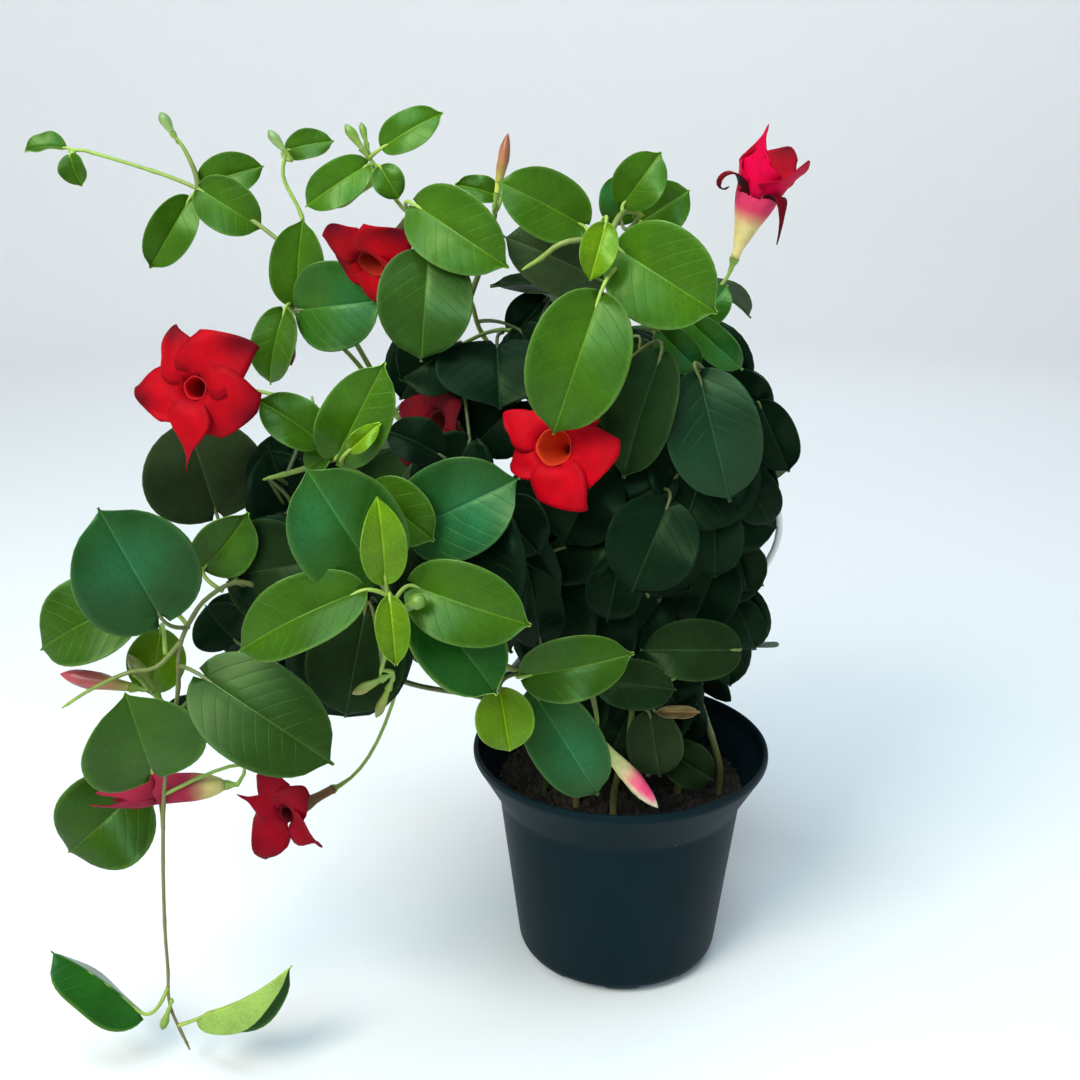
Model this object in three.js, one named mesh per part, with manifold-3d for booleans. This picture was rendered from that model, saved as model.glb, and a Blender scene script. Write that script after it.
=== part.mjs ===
// A potted mandevilla: twining stems with glossy leaves and funnel flowers on a white hoop.
// Millimetres, +Z up, +Y to the back. The origin is the centre of the pot's underside.
import * as THREE from 'three';
import { mergeVertices } from 'three/addons/utils/BufferGeometryUtils.js';
import Module from 'manifold-3d';

const wasm = await Module();
wasm.setup();

// Driving dimensions.
const gap = 0.3;
const pot = { rim: 85, height: 131, neck: 70, neckHeight: 101, foot: 59, corner: 11, wall: 2, floor: 4 };
const notch = { count: 8, width: 13, height: 2.6, reach: 15 };
const soil = { top: 106, lump: 2.2, holeDepth: 30, edge: 2.6 };
const turns = 24;
const hoopRod = { radius: 1.9, sides: 5, legDepth: 60, step: 24 };
const stem = { foot: 2.4, tip: 1.1, sides: 4, step: 20, holeSlack: 1.2, rise: 16 };
const stalk = { root: 0.95, radius: 1.15, straight: 24, bent: 0.8, roots: 5, rootStep: 9, above: 10 };
const blade = { thickness: 0.8, sideDrop: 0.07, wave: 1.1 };
// Rows of points across a blade, by the blade's length.
const bladeRows = [[50, [0.06, 0.26, 0.54, 0.81]], [24, [0.1, 0.42, 0.78]], [0, [0.15, 0.65]]];
const smallest = 0.12;
const flower = { tube: 36, neck: 2.3, throat: 7, thickness: 0.8, petals: 5 };
const calyx = { length: 6, root: 1.3, mouth: 2.7, sides: 5 };
const clear = { leaf: 6.5, ownLeaf: 3.2, stem: 4.8, rod: 8, stalk: 3.4, sample: 4 };
const shift = { step: 3, count: 22 };

// Places on the plant are given as they are seen from a point in front of it: u to the right and
// v down in a square of 1080 units, with the depth along Y in millimetres.
const eye = { place: new THREE.Vector3(-46.3, -678.1, 476.4), middle: 540, focal: 1300, pitch: 18.2 };
const cosine = (degrees) => Math.cos(THREE.MathUtils.degToRad(degrees));
const pitchCos = cosine(eye.pitch);
const pitchSin = Math.sin(THREE.MathUtils.degToRad(eye.pitch));

function spot(u, v, depth) {
  const down = (v - eye.middle) / eye.focal;
  const reach = (depth - eye.place.y) / (pitchCos - pitchSin * down);
  const x = eye.place.x + reach * (u - eye.middle) / eye.focal;
  return new THREE.Vector3(x, depth, eye.place.z - reach * (pitchCos * down + pitchSin));
}

// The u of a place: how far across it is seen.
function seenAcross(p) {
  const reach = (p.y - eye.place.y) * pitchCos + (eye.place.z - p.z) * pitchSin;
  return eye.middle + eye.focal * (p.x - eye.place.x) / reach;
}

function unitAt(depth) {
  return (depth - eye.place.y) / eye.focal;
}

// Each vine: where it stands in the soil, its stems, and rows for what grows on it.
// stems: [u, v, depth] points; the first stem starts in the soil, and the others branch from it.
// leaves: [u, v of the base, u, v of the tip, width, depth, lean to the front, roll, fold, arc].
// flowers: name, throat [u, v, depth], a point down the tube, radius, spin, opening 0 to 1.
// buds: name, base [u, v, depth], tip [u, v, depth], radius.
const vines = {
  vine_front: {
    crown: [-26, -30],
    stems: [[[590, 700, -52], [520, 672, -75], [450, 640, -110], [408, 612, -138], [386, 593, -150]],
      [[386, 593, -150], [388, 640, -140], [380, 675, -128]]],
    leaves: [
      [385, 578, 377, 497, 50, -152, 0.2, 10, 12, 0.08],
      [390, 600, 396, 665, 38, -158, 0.3, 0, 16, 0.1],
      [358, 592, 238, 652, 62, -150, 0, 25, 30, 0.1],
      [414, 586, 531, 625, 85, -148, 0.2, 8, 10, 0.08],
      [424, 605, 497, 695, 90, -132, 0.3, -10, 12, 0.1],
      [375, 575, 305, 467, 115, -136, 0.2, 0, 8, 0.07],
      [365, 610, 345, 718, 95, -112, 0.2, 0, 10, 0.08],
    ],
    flowers: [],
    buds: [
      ['bud_front_a', [380, 680, -127], [352, 694, -127], 3.4],
      ['bud_front_b', [388, 690, -126], [376, 718, -126], 3.2],
      ['bud_front_c', [410, 606, -152], [424, 598, -156], 3.6],
    ],
  },
  vine_hanging: {
    crown: [-44, -20],
    stems: [[[500, 705, -50], [400, 680, -72], [300, 620, -92], [240, 582, -108], [205, 600, -116],
      [192, 618, -120], [180, 645, -123], [178, 690, -123], [172, 730, -121], [165, 780, -119],
      [163, 850, -116], [165, 930, -114], [168, 970, -113], [170, 1005, -113], [190, 1050, -114]],
    [[180, 645, -123], [155, 668, -128], [130, 672, -132], [90, 690, -133], [62, 708, -130]],
    [[172, 730, -121], [158, 752, -124], [140, 782, -124]]],
    leaves: [
      [160, 616, 98, 508, 125, -134, 0.3, 0, 8, 0.07],
      [205, 678, 334, 765, 108, -134, 0.3, 0, 10, 0.1],
      [152, 772, 125, 693, 108, -128, 0.3, 15, 24, 0.06],
      [136, 790, 68, 853, 95, -122, 0.3, -15, 24, 0.16],
      [138, 600, 40, 650, 80, -118, 0.1, 20, 14, 0.1],
      [160, 632, 152, 695, 50, -113, 0, 30, 14, 0.08],
      [195, 700, 175, 745, 40, -102, 0, 20, 15, 0.1],
      [235, 640, 205, 605, 50, -98, 0, -20, 15, 0.1],
      [245, 600, 225, 650, 45, -94, 0, 30, 15, 0.1],
      [290, 640, 262, 658, 24, -94, 0, 0, 20, 0.1],
      [232, 576, 325, 560, 95, -104, 0.2, 10, 10, 0.08],
      [216, 512, 185, 415, 113, -88, 0.2, 0, 8, 0.07],
      [205, 566, 248, 512, 60, -106, 0, 20, 14, 0.1],
      [140, 1012, 51, 951, 46, -114, 0, 42, -42, 0.06],
      [203, 1016, 292, 966, 36, -112, 0, 78, 60, 0.06],
    ],
    flowers: [
      ['corolla_faded', [150, 789, -110], [226, 785, -106], 25, 10, 0.28],
      ['corolla_low', [285, 815, -110], [322, 795, -86], 27, 25, 0.82],
    ],
    buds: [
      ['bud_left_large', [130, 687, -122], [60, 674, -122], 4.4],
      ['bud_left_small', [155, 692, -116], [128, 654, -112], 3.6],
      ['bud_stem_end', [168, 1012, -116], [162, 1030, -118], 2.2],
    ],
  },
  vine_upper_left: {
    crown: [-34, -4],
    stems: [[[560, 660, -22], [480, 580, -55], [420, 515, -82], [370, 480, -102], [338, 460, -110],
      [315, 430, -104], [312, 396, -98]], [[338, 460, -110], [300, 470, -98], [262, 480, -90]]],
    leaves: [
      [350, 450, 380, 423, 22, -122, 0, 0, 20, 0.08],
      [336, 458, 385, 362, 70, -114, 0.2, 0, 12, 0.08],
      [318, 440, 258, 400, 50, -112, 0, 15, 14, 0.08],
      [330, 455, 305, 470, 24, -106, 0, 30, 20, 0.08],
      [345, 450, 375, 455, 20, -108, 0, 30, 20, 0.08],
      [372, 490, 434, 541, 62, -122, 0.2, 0, 14, 0.1],
      [412, 530, 520, 478, 100, -112, 0.2, 0, 10, 0.08],
      [500, 505, 540, 555, 60, -92, 0.2, 15, 12, 0.1],
      [440, 455, 385, 430, 40, -88, 0, 20, 15, 0.1],
      [300, 440, 262, 520, 55, -92, 0.1, 20, 12, 0.1],
      [287, 513, 243, 537, 12, -104, 0, 65, 10, 0.1],
    ],
    flowers: [['corolla_left', [194, 388, -126], [232, 388, -88], 35, 12, 0.95]],
    buds: [],
  },
  vine_low_front: {
    crown: [-6, -46],
    stems: [[[630, 700, -52], [590, 690, -68], [545, 675, -84], [515, 672, -92]],
      [[630, 700, -52], [650, 690, -56], [690, 668, -56], [725, 640, -50]],
      [[590, 690, -68], [596, 712, -68], [598, 728, -67]]],
    leaves: [
      [527, 676, 634, 653, 68, -108, 0.1, 10, 10, 0.1],
      [500, 691, 510, 752, 62, -102, 0.2, 0, 28, 0.1],
      [540, 640, 526, 562, 48, -92, 0.1, 10, 14, 0.08],
      [535, 695, 598, 795, 78, -86, 0, 0, 12, 0.12],
      [600, 680, 677, 690, 50, -74, 0.1, 0, 12, 0.1],
      [735, 650, 640, 650, 60, -68, 0, 0, 10, 0.1],
      [660, 712, 700, 712, 14, -60, 0, 0, 30, 0.1],
      [650, 715, 660, 777, 60, -56, 0.1, 0, 10, 0.1],
      [665, 750, 713, 780, 45, -44, 0, 0, 14, 0.1],
      [735, 600, 756, 650, 35, -38, 0, 0, 14, 0.1],
    ],
    flowers: [],
    buds: [['bud_low', [598, 740, -74], [658, 808, -78], 4.8]],
  },
  vine_core: {
    crown: [10, -20],
    stems: [[[655, 650, -45], [645, 580, -52], [632, 500, -50], [610, 420, -44], [570, 350, -34],
      [500, 330, -24], [450, 350, -28]], [[610, 420, -44], [606, 440, -40]]],
    leaves: [
      [668, 505, 632, 592, 80, -80, 0.2, 0, 10, 0.1],
      [660, 358, 624, 478, 46, -76, 0, 25, 16, 0.08],
      [620, 560, 607, 622, 50, -74, 0.1, 0, 12, 0.1],
      [672, 480, 606, 520, 42, -70, 0, 20, 12, 0.1],
      [655, 430, 698, 490, 50, -60, 0.1, 0, 12, 0.1],
      [640, 345, 622, 450, 56, -54, 0.1, 15, 12, 0.1],
      [497, 345, 500, 410, 105, -52, 0.4, 0, 8, 0.1],
      [455, 345, 400, 380, 60, -40, 0.1, 0, 12, 0.1],
      [452, 372, 474, 432, 56, -44, 0.1, 0, 12, 0.1],
      [545, 300, 510, 340, 36, -20, 0, 10, 12, 0.1],
      [600, 470, 562, 545, 72, -66, 0.1, 0, 10, 0.1],
      [560, 480, 515, 530, 60, -60, 0, 10, 12, 0.1],
      [590, 540, 560, 600, 62, -60, 0, 0, 12, 0.1],
      [640, 530, 690, 590, 66, -56, 0, 0, 10, 0.1],
      [660, 600, 618, 660, 58, -58, 0, 0, 10, 0.1],
      [600, 395, 640, 420, 60, -46, 0, 0, 10, 0.1],
    ],
    flowers: [
      ['corolla_middle', [553, 447, -82], [580, 452, -48], 29, 20, 0.95],
      ['corolla_shade', [434, 424, -36], [478, 436, -18], 25, 40, 0.85],
    ],
    buds: [],
  },
  vine_right: {
    crown: [56, -16],
    stems: [[[690, 650, -16], [712, 590, -24], [720, 520, -30], [722, 450, -32], [728, 400, -30],
      [735, 375, -26]], [[722, 450, -32], [748, 425, -26], [762, 408, -22]]],
    leaves: [
      [700, 378, 730, 502, 92, -74, 0.1, 0, 10, 0.1],
      [715, 505, 715, 577, 50, -66, 0.1, 0, 12, 0.1],
      [740, 470, 772, 525, 42, -48, 0, 0, 14, 0.1],
      [735, 545, 748, 592, 45, -44, 0.1, 0, 14, 0.1],
      [722, 378, 772, 412, 38, -30, 0, 0, 14, 0.1],
      [760, 405, 789, 472, 40, -32, 0, 0, 14, 0.1],
      [762, 462, 774, 496, 16, -24, 0, 0, 20, 0.1],
      [690, 440, 650, 500, 64, -54, 0, 0, 10, 0.1],
      [720, 560, 690, 630, 60, -46, 0, 0, 10, 0.1],
      [745, 440, 700, 400, 54, -36, 0, 0, 12, 0.1],
    ],
    flowers: [],
    buds: [],
  },
  vine_top_centre: {
    crown: [32, -20],
    stems: [[[668, 640, -2], [668, 540, -14], [665, 440, -28], [662, 380, -40], [655, 330, -50],
      [628, 275, -58], [605, 228, -58]],
    [[655, 330, -50], [690, 312, -34], [714, 290, -14]], [[605, 228, -58], [624, 212, -42], [645, 216, -28]],
    [[605, 228, -58], [588, 240, -62], [570, 241, -64], [555, 247, -64], [543, 257, -62], [522, 270, -58]]],
    leaves: [
      [598, 300, 553, 435, 98, -92, 0.1, 0, 10, 0.1],
      [605, 226, 590, 281, 37, -82, 0.2, 0, 16, 0.1],
      [620, 250, 717, 313, 95, -72, 0.3, 0, 10, 0.1],
      [582, 225, 497, 181, 62, -52, 0.1, 10, 12, 0.08],
      [660, 332, 700, 372, 36, -56, 0.1, 0, 14, 0.1],
      [688, 320, 743, 370, 34, -46, 0, 0, 16, 0.1],
      [624, 203, 661, 152, 48, -42, 0.1, 0, 14, 0.08],
      [600, 280, 503, 236, 65, -32, 0.1, 10, 10, 0.08],
      [600, 298, 490, 287, 20, -26, 0, 60, 10, 0.08],
      [640, 222, 690, 190, 50, -24, 0.1, 0, 12, 0.08],
      [622, 222, 618, 172, 40, -14, 0.1, 0, 12, 0.08],
      [700, 320, 728, 285, 35, -18, 0.1, 0, 12, 0.08],
    ],
    flowers: [['corolla_top_right', [760, 188, -14], [728, 277, -8], 35, 15, 0.4]],
    buds: [],
  },
  vine_top: {
    crown: [-12, 14],
    stems: [[[610, 620, 14], [575, 500, 16], [530, 400, 12], [480, 330, 2], [470, 300, -4],
      [432, 254, -10], [415, 220, -12], [400, 205, -12], [385, 183, -11], [377, 168, -10], [364, 152, -9]],
    [[470, 300, -4], [490, 240, -14], [497, 205, -22]]],
    leaves: [
      [428, 256, 421, 362, 90, -44, 0.3, 0, 8, 0.1],
      [417, 206, 509, 268, 72, -34, 0.5, 0, 10, 0.12],
      [385, 146, 443, 113, 36, -14, 0, 10, 14, 0.08],
      [366, 166, 305, 207, 46, -14, 0, 10, 14, 0.1],
      [381, 168, 399, 199, 30, -18, 0.1, 0, 16, 0.1],
      [375, 172, 333, 209, 24, -4, 0, 150, 16, 0.1],
      [497, 195, 455, 185, 25, -20, 0, 20, 14, 0.08],
    ],
    flowers: [['corolla_far', [370, 266, -2], [398, 232, 18], 25, 0, 0.7]],
    buds: [
      ['bud_top_fat', [361, 147, -10], [345, 124, -10], 3.4],
      ['bud_top_thin', [366, 142, -6], [361, 122, -4], 2.4],
      ['bud_top_middle', [497, 193, -30], [508, 133, -30], 3.1],
    ],
  },
  vine_back_left: {
    crown: [-30, 26],
    stems: [[[560, 620, 44], [480, 520, 52], [400, 420, 48], [345, 350, 42], [300, 318, 34],
      [288, 300, 34], [296, 262, 40], [303, 222, 46], [283, 175, 50], [286, 152, 50]],
    [[400, 420, 48], [330, 300, 56], [300, 260, 62], [245, 215, 68], [200, 190, 74], [170, 177, 80],
      [140, 167, 85], [100, 155, 89], [80, 150, 91], [68, 152, 92]],
    [[200, 190, 74], [195, 172, 74], [183, 147, 75], [172, 133, 75]]],
    leaves: [
      [300, 310, 385, 300, 85, 24, 0.2, 0, 8, 0.1],
      [297, 302, 303, 218, 48, 26, 0.1, 20, 12, 0.08],
      [284, 312, 270, 385, 42, 26, 0, 20, 15, 0.12],
      [288, 150, 334, 141, 24, 50, 0, 30, 20, 0.08],
      [188, 201, 150, 268, 42, 68, 0, 0, 20, 0.12],
      [201, 190, 263, 229, 50, 68, 0, 0, 12, 0.08],
      [203, 184, 264, 166, 30, 78, 0, 40, 20, 0.08],
      [70, 156, 82, 186, 24, 90, 0, 20, 25, 0.1],
      [64, 148, 25, 152, 16, 95, 0, 50, 30, 0.1],
    ],
    flowers: [],
    buds: [
      ['bud_far_left', [172, 132, 75], [160, 112, 75], 3.2],
      ['bud_back_left', [284, 150, 50], [268, 130, 50], 2.8],
      ['bud_hanging_left', [287, 324, 32], [291, 366, 30], 3.4],
    ],
  },
};

// The vines at the back, by x, y and z of their stems.
const backVines = {
  vine_back_middle: {
    crown: [4, 40],
    route: [[4, 50, 150], [-4, 68, 200], [-20, 70, 250], [-26, 62, 300], [-14, 50, 345], [4, 40, 385]],
  },
  vine_back_right: {
    crown: [28, 26],
    route: [[44, 40, 145], [62, 46, 190], [64, 44, 240], [50, 42, 290], [36, 34, 330], [40, 24, 370]],
  },
};

// Leaves in opposite pairs, each pair turned a quarter from the last, fill the inside and the back:
// the vine's name, the stretch of its stem as shares of the whole, and the seed of their draws.
const pairRuns = [
  ['vine_core', 0.3, 0.95, 5], ['vine_right', 0.55, 0.95, 7], ['vine_top_centre', 0.3, 0.7, 3],
  ['vine_top', 0.35, 0.62, 17], ['vine_back_left', 0.3, 0.62, 23], ['vine_upper_left', 0.3, 0.6, 19],
  ['vine_back_middle', 0.2, 1, 11], ['vine_back_right', 0.2, 1, 29],
];
const pairRule = { spacing: 31, stalk: 15, length: 56, width: 48, spread: 1.3, fall: 0.55, farthest: 790 };

// Colours: leaves and petals by node, with the common ones first.
const leafTints = {
  usual: '#24471f', vine_front: '#4e8a12', vine_upper_left: '#55901c', vine_hanging: '#2f6a1e',
  vine_low_front: '#39742a', vine_top_centre: '#3f8020', vine_top: '#4a8a20',
};
const petalTints = {
  usual: '#d8121f', corolla_shade: '#8e0a22', corolla_low: '#a80d28', corolla_faded: '#b4566a',
  corolla_top_right: '#d81f4a', bud_low: '#d8d890', bud_top_middle: '#b86a4a', bud_left_small: '#8a8a40',
  bud_stem_end: '#6f8a3a', bud_front_a: '#9a7a40', bud_front_b: '#9a7a40', bud_front_c: '#7aa030',
  bud_top_fat: '#7aa030', bud_top_thin: '#7aa030', bud_far_left: '#8aa860', bud_back_left: '#8aa860',
  bud_hanging_left: '#a04a38', bud_left_large: '#b4434a',
};
const potTint = '#12242b';
const soilTint = '#2a211a';
const hoopTint = '#e8eae6';

// The hoop's rod: [u, v] of its bends in one upright plane, from the left leg round to the right.
const hoop = {
  depth: 4,
  bends: [[650, 735], [634, 672], [600, 620], [530, 552], [466, 484], [436, 440], [440, 417], [466, 402],
    [530, 388], [600, 394], [672, 422], [736, 460], [766, 488], [778, 512], [777, 542], [750, 590],
    [716, 640], [698, 690], [692, 735]],
};

// Seeded draws from 0 to 1.
function drawer(seed) {
  let state = seed >>> 0;
  return () => {
    state = (state + 0x6D2B79F5) >>> 0;
    let t = state;
    t = Math.imul(t ^ (t >>> 15), t | 1);
    t ^= t + Math.imul(t ^ (t >>> 7), t | 61);
    return ((t ^ (t >>> 14)) >>> 0) / 4294967296;
  };
}

function finish(color, roughness) {
  return new THREE.MeshStandardMaterial({ color, roughness, metalness: 0 });
}

// ---- solids ----

function toSolid(geometry) {
  const plain = new THREE.BufferGeometry();
  plain.setAttribute('position', geometry.getAttribute('position'));
  plain.setIndex(geometry.getIndex());
  const merged = mergeVertices(plain, 1e-4);
  const corners = merged.getIndex().array;
  const kept = [];
  for (let i = 0; i < corners.length; i += 3) {
    const [a, b, c] = [corners[i], corners[i + 1], corners[i + 2]];
    if (a !== b && b !== c && c !== a) {
      kept.push(a, b, c);
    }
  }
  const vertProperties = new Float32Array(merged.getAttribute('position').array);
  return new wasm.Manifold(new wasm.Mesh({ numProp: 3, vertProperties, triVerts: new Uint32Array(kept) }));
}

function solidOf(points, faces) {
  const geometry = new THREE.BufferGeometry();
  geometry.setAttribute('position', new THREE.Float32BufferAttribute(points.flatMap((p) => p.toArray()), 3));
  geometry.setIndex(faces.flat());
  return toSolid(geometry);
}

function joinAll(solids) {
  let rest = solids;
  while (rest.length > 1) {
    const next = [];
    for (let i = 0; i < rest.length; i += 2) {
      next.push(i + 1 < rest.length ? rest[i].add(rest[i + 1]) : rest[i]);
    }
    rest = next;
  }
  const bodies = rest[0].simplify(smallest).decompose();
  return bodies.reduce((most, body) => (body.volume() > most.volume() ? body : most));
}

function toMesh(name, solid, material) {
  const mesh = solid.getMesh();
  const geometry = new THREE.BufferGeometry();
  geometry.setAttribute('position', new THREE.Float32BufferAttribute(mesh.vertProperties, 3));
  geometry.setIndex(new THREE.Uint32BufferAttribute(mesh.triVerts, 1));
  geometry.computeVertexNormals();
  const result = new THREE.Mesh(geometry, material);
  result.name = name;
  return result;
}

// A closed tube through the points, with a radius at each of them and flat ends.
function rod(points, radii, sides) {
  const rings = [];
  let turn = new THREE.Vector3(0.31, 0.87, 0.38);
  points.forEach((point, k) => {
    const ahead = points[Math.min(k + 1, points.length - 1)];
    const behind = points[Math.max(k - 1, 0)];
    const along = ahead.clone().sub(behind).normalize();
    turn = turn.clone().addScaledVector(along, -turn.dot(along)).normalize();
    const across = new THREE.Vector3().crossVectors(along, turn);
    for (let i = 0; i < sides; i += 1) {
      const angle = 2 * Math.PI * i / sides;
      rings.push(point.clone().addScaledVector(turn, radii[k] * Math.cos(angle))
        .addScaledVector(across, radii[k] * Math.sin(angle)));
    }
  });
  const faces = [];
  for (let k = 0; k + 1 < points.length; k += 1) {
    for (let i = 0; i < sides; i += 1) {
      const a = k * sides + i;
      const b = k * sides + (i + 1) % sides;
      faces.push([a, b, b + sides], [a, b + sides, a + sides]);
    }
  }
  const last = (points.length - 1) * sides;
  for (let i = 1; i + 1 < sides; i += 1) {
    faces.push([0, i + 1, i], [last, last + i, last + i + 1]);
  }
  return solidOf(rings, faces);
}

function turned(profile, segments) {
  const line = profile.map(([r, z]) => new THREE.Vector2(r, z));
  return new THREE.LatheGeometry(line, segments).rotateX(Math.PI / 2);
}

// A thin sheet: one surface given by points and faces, made a wall of the given thickness.
function sheet(points, faces, thickness) {
  const count = points.length;
  const normals = points.map(() => new THREE.Vector3());
  const edges = new Set();
  for (const [a, b, c] of faces) {
    const normal = points[b].clone().sub(points[a]).cross(points[c].clone().sub(points[a]));
    [a, b, c].forEach((corner) => normals[corner].add(normal));
    edges.add(`${a} ${b}`).add(`${b} ${c}`).add(`${c} ${a}`);
  }
  const above = points.map((p, i) => p.clone().addScaledVector(normals[i].normalize(), thickness / 2));
  const below = points.map((p, i) => p.clone().addScaledVector(normals[i], -thickness / 2));
  const all = [];
  for (const [a, b, c] of faces) {
    all.push([a, b, c], [c + count, b + count, a + count]);
  }
  for (const edge of edges) {
    const [a, b] = edge.split(' ').map(Number);
    if (!edges.has(`${b} ${a}`)) {
      all.push([b, a, a + count], [b, a + count, b + count]);
    }
  }
  return solidOf([...above, ...below], all);
}

// ---- leaves ----

// Half the width of a blade along its midrib: broad near the stalk, drawn out to a point.
function outline(s) {
  return Math.pow(Math.sin(Math.PI * Math.pow(s, 0.75)), 0.62) * (1 - 0.5 * Math.pow(s, 10));
}

function makeLeaf(base, tip, width, facing, shape) {
  const along = tip.clone().sub(base);
  const length = along.length();
  along.divideScalar(length);
  const up = facing.clone().addScaledVector(along, -facing.dot(along)).normalize();
  up.applyAxisAngle(along, THREE.MathUtils.degToRad(shape.roll));
  const side = new THREE.Vector3().crossVectors(along, up);
  const rows = bladeRows.find(([least]) => length >= least + (shape.plain ?? 0))[1];
  const fold = THREE.MathUtils.degToRad(shape.fold);
  return { base, along, up, side, length, width, fold, rows, arc: shape.arc, phase: shape.phase };
}

function leafPoint(leaf, s, t) {
  const half = leaf.width / 2 * outline(s);
  const reach = leaf.length * (s - blade.sideDrop * t * t * Math.pow(1 - s, 4));
  const lift = leaf.length * leaf.arc * 4 * s * (1 - s) + Math.abs(t) * half * Math.sin(leaf.fold)
    + blade.wave * Math.sin(9 * s + leaf.phase) * t * t;
  return leaf.base.clone().addScaledVector(leaf.along, reach)
    .addScaledVector(leaf.side, t * half * Math.cos(leaf.fold)).addScaledVector(leaf.up, lift);
}

// The outward normal of the blade's upper face.
function leafNormal(leaf, s, t) {
  const ahead = leafPoint(leaf, Math.min(1, s + 0.02), t).sub(leafPoint(leaf, Math.min(0.98, s), t));
  const across = leafPoint(leaf, Math.min(0.96, s), Math.min(1, t + 0.1));
  across.sub(leafPoint(leaf, Math.min(0.96, s), Math.max(-1, t - 0.1)));
  return across.cross(ahead).normalize();
}

// A leaf with its stalk, one closed surface: three-sided rings along the stalk, then rows of the blade.
function leafSolid(leaf, stalkPoints) {
  const points = [];
  const faces = [];
  let turn = leaf.up.clone();
  const rings = stalkPoints.map((point, k) => {
    const j = stalkPoints.length - 1 - k;
    const ahead = k === 0 ? leaf.along : stalkPoints[j + 1].clone().sub(stalkPoints[j]).normalize();
    const behind = j === 0 ? ahead : stalkPoints[j].clone().sub(stalkPoints[j - 1]).normalize();
    const heading = ahead.clone().add(behind).normalize();
    turn = turn.clone().addScaledVector(heading, -turn.dot(heading)).normalize();
    const side = new THREE.Vector3().crossVectors(heading, turn);
    const radius = stalk.root + (stalk.radius - stalk.root) * j / (stalkPoints.length - 1);
    return [[-0.87, -0.5], [0, 1], [0.87, -0.5]].map(([wide, high]) => stalkPoints[j].clone()
      .addScaledVector(side, wide * radius).addScaledVector(turn, high * radius));
  });
  rings.reverse().forEach((ring) => points.push(...ring));
  faces.push([0, 2, 1]);
  for (let k = 0; k + 1 < rings.length; k += 1) {
    for (let i = 0; i < 3; i += 1) {
      const a = 3 * k + i;
      const b = 3 * k + (i + 1) % 3;
      faces.push([a, b, a + 3], [b, b + 3, a + 3]);
    }
  }
  // Corner numbers of a row: left, middle and right on the upper face, then the same on the lower.
  const last = 3 * (rings.length - 1);
  let row = { top: [last, last + 1, last + 2], under: [last, null, last + 2] };
  for (const s of leaf.rows) {
    const next = { top: [], under: [] };
    for (const t of [-1, 0, 1]) {
      const normal = leafNormal(leaf, s, t).multiplyScalar(blade.thickness / 2);
      const point = leafPoint(leaf, s, t);
      next.top.push(points.push(point.clone().add(normal)) - 1);
      next.under.push(points.push(point.clone().sub(normal)) - 1);
    }
    const [l, m, r] = row.top;
    const [l2, m2, r2] = next.top;
    faces.push([m, m2, l], [l, m2, l2], [m, r, m2], [r, r2, m2]);
    const [a, b, c] = row.under;
    const [a2, b2, c2] = next.under;
    faces.push([a2, b2, a], [b2, c2, c], [l, l2, a2], [r2, r, c2]);
    if (b === null) {
      faces.push([a, b2, c]);
    } else {
      faces.push([a, b2, b], [b2, c, b], [l, a2, a], [r, c, c2]);
    }
    row = next;
  }
  const normal = leafNormal(leaf, 1, 0).multiplyScalar(blade.thickness / 2);
  const tip = leafPoint(leaf, 1, 0);
  const high = points.push(tip.clone().add(normal)) - 1;
  const low = points.push(tip.clone().sub(normal)) - 1;
  const [l, m, r] = row.top;
  const [a, b, c] = row.under;
  faces.push([m, high, l], [m, r, high], [a, low, b], [low, c, b]);
  faces.push([l, high, low], [l, low, a], [high, r, c], [high, c, low]);
  return solidOf(points, faces);
}

function leafSamples(leaf) {
  const samples = [];
  for (const s of [0.12, 0.27, 0.42, 0.57, 0.72, 0.87]) {
    for (const t of [-0.9, -0.45, 0, 0.45, 0.9]) {
      samples.push(leafPoint(leaf, s, t));
    }
  }
  return samples;
}

function rowLeaf(row, back, phase) {
  const [u0, v0, u1, v1, seen, depth, lean, roll, fold, arc] = row;
  const turnedAway = Math.abs(cosine(roll)) * cosine(fold);
  const width = seen * unitAt(depth) / Math.max(0.5, turnedAway);
  const base = spot(u0, v0, depth + back);
  const tip = spot(u1, v1, depth + back - lean * width);
  const facing = eye.place.clone().sub(base).normalize();
  return makeLeaf(base, tip, width, facing, { roll, fold, arc, phase });
}

// ---- keeping things clear of each other ----

const placed = [];

function keep(owner, kind, points) {
  const middle = points.reduce((sum, p) => sum.add(p), new THREE.Vector3()).divideScalar(points.length);
  const reach = Math.max(...points.map((p) => p.distanceTo(middle)));
  placed.push({ owner, kind, points, middle, reach });
}

// How far the points stay outside what each placed thing needs; negative where they come too near.
function room(owner, points, needOf) {
  const middle = points.reduce((sum, p) => sum.add(p), new THREE.Vector3()).divideScalar(points.length);
  const reach = Math.max(...points.map((p) => p.distanceTo(middle)));
  let least = 50;
  for (const other of placed) {
    const need = needOf(other);
    if (need > 0 && middle.distanceTo(other.middle) - reach - other.reach < need + Math.min(least, 8)) {
      for (const p of points) {
        for (const q of other.points) {
          least = Math.min(least, p.distanceTo(q) - need);
        }
      }
    }
  }
  return least;
}

function leafNeed(owner) {
  return (other) => {
    if (other.kind === 'stem' || other.kind === 'stalk') {
      return other.owner === owner ? 0 : clear.stem;
    }
    if (other.kind === 'rod') {
      return clear.rod;
    }
    return other.owner === owner && other.kind === 'leaf' ? clear.ownLeaf : clear.leaf;
  };
}

function stalkNeed(owner) {
  const wide = clear.leaf - 1;
  const needs = { leaf: wide, flower: wide, stem: clear.stem, rod: clear.stem, stalk: clear.stalk };
  return (other) => (other.owner === owner && other.kind !== 'flower' ? 0 : needs[other.kind]);
}

// ---- stems and stalks ----

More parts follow.
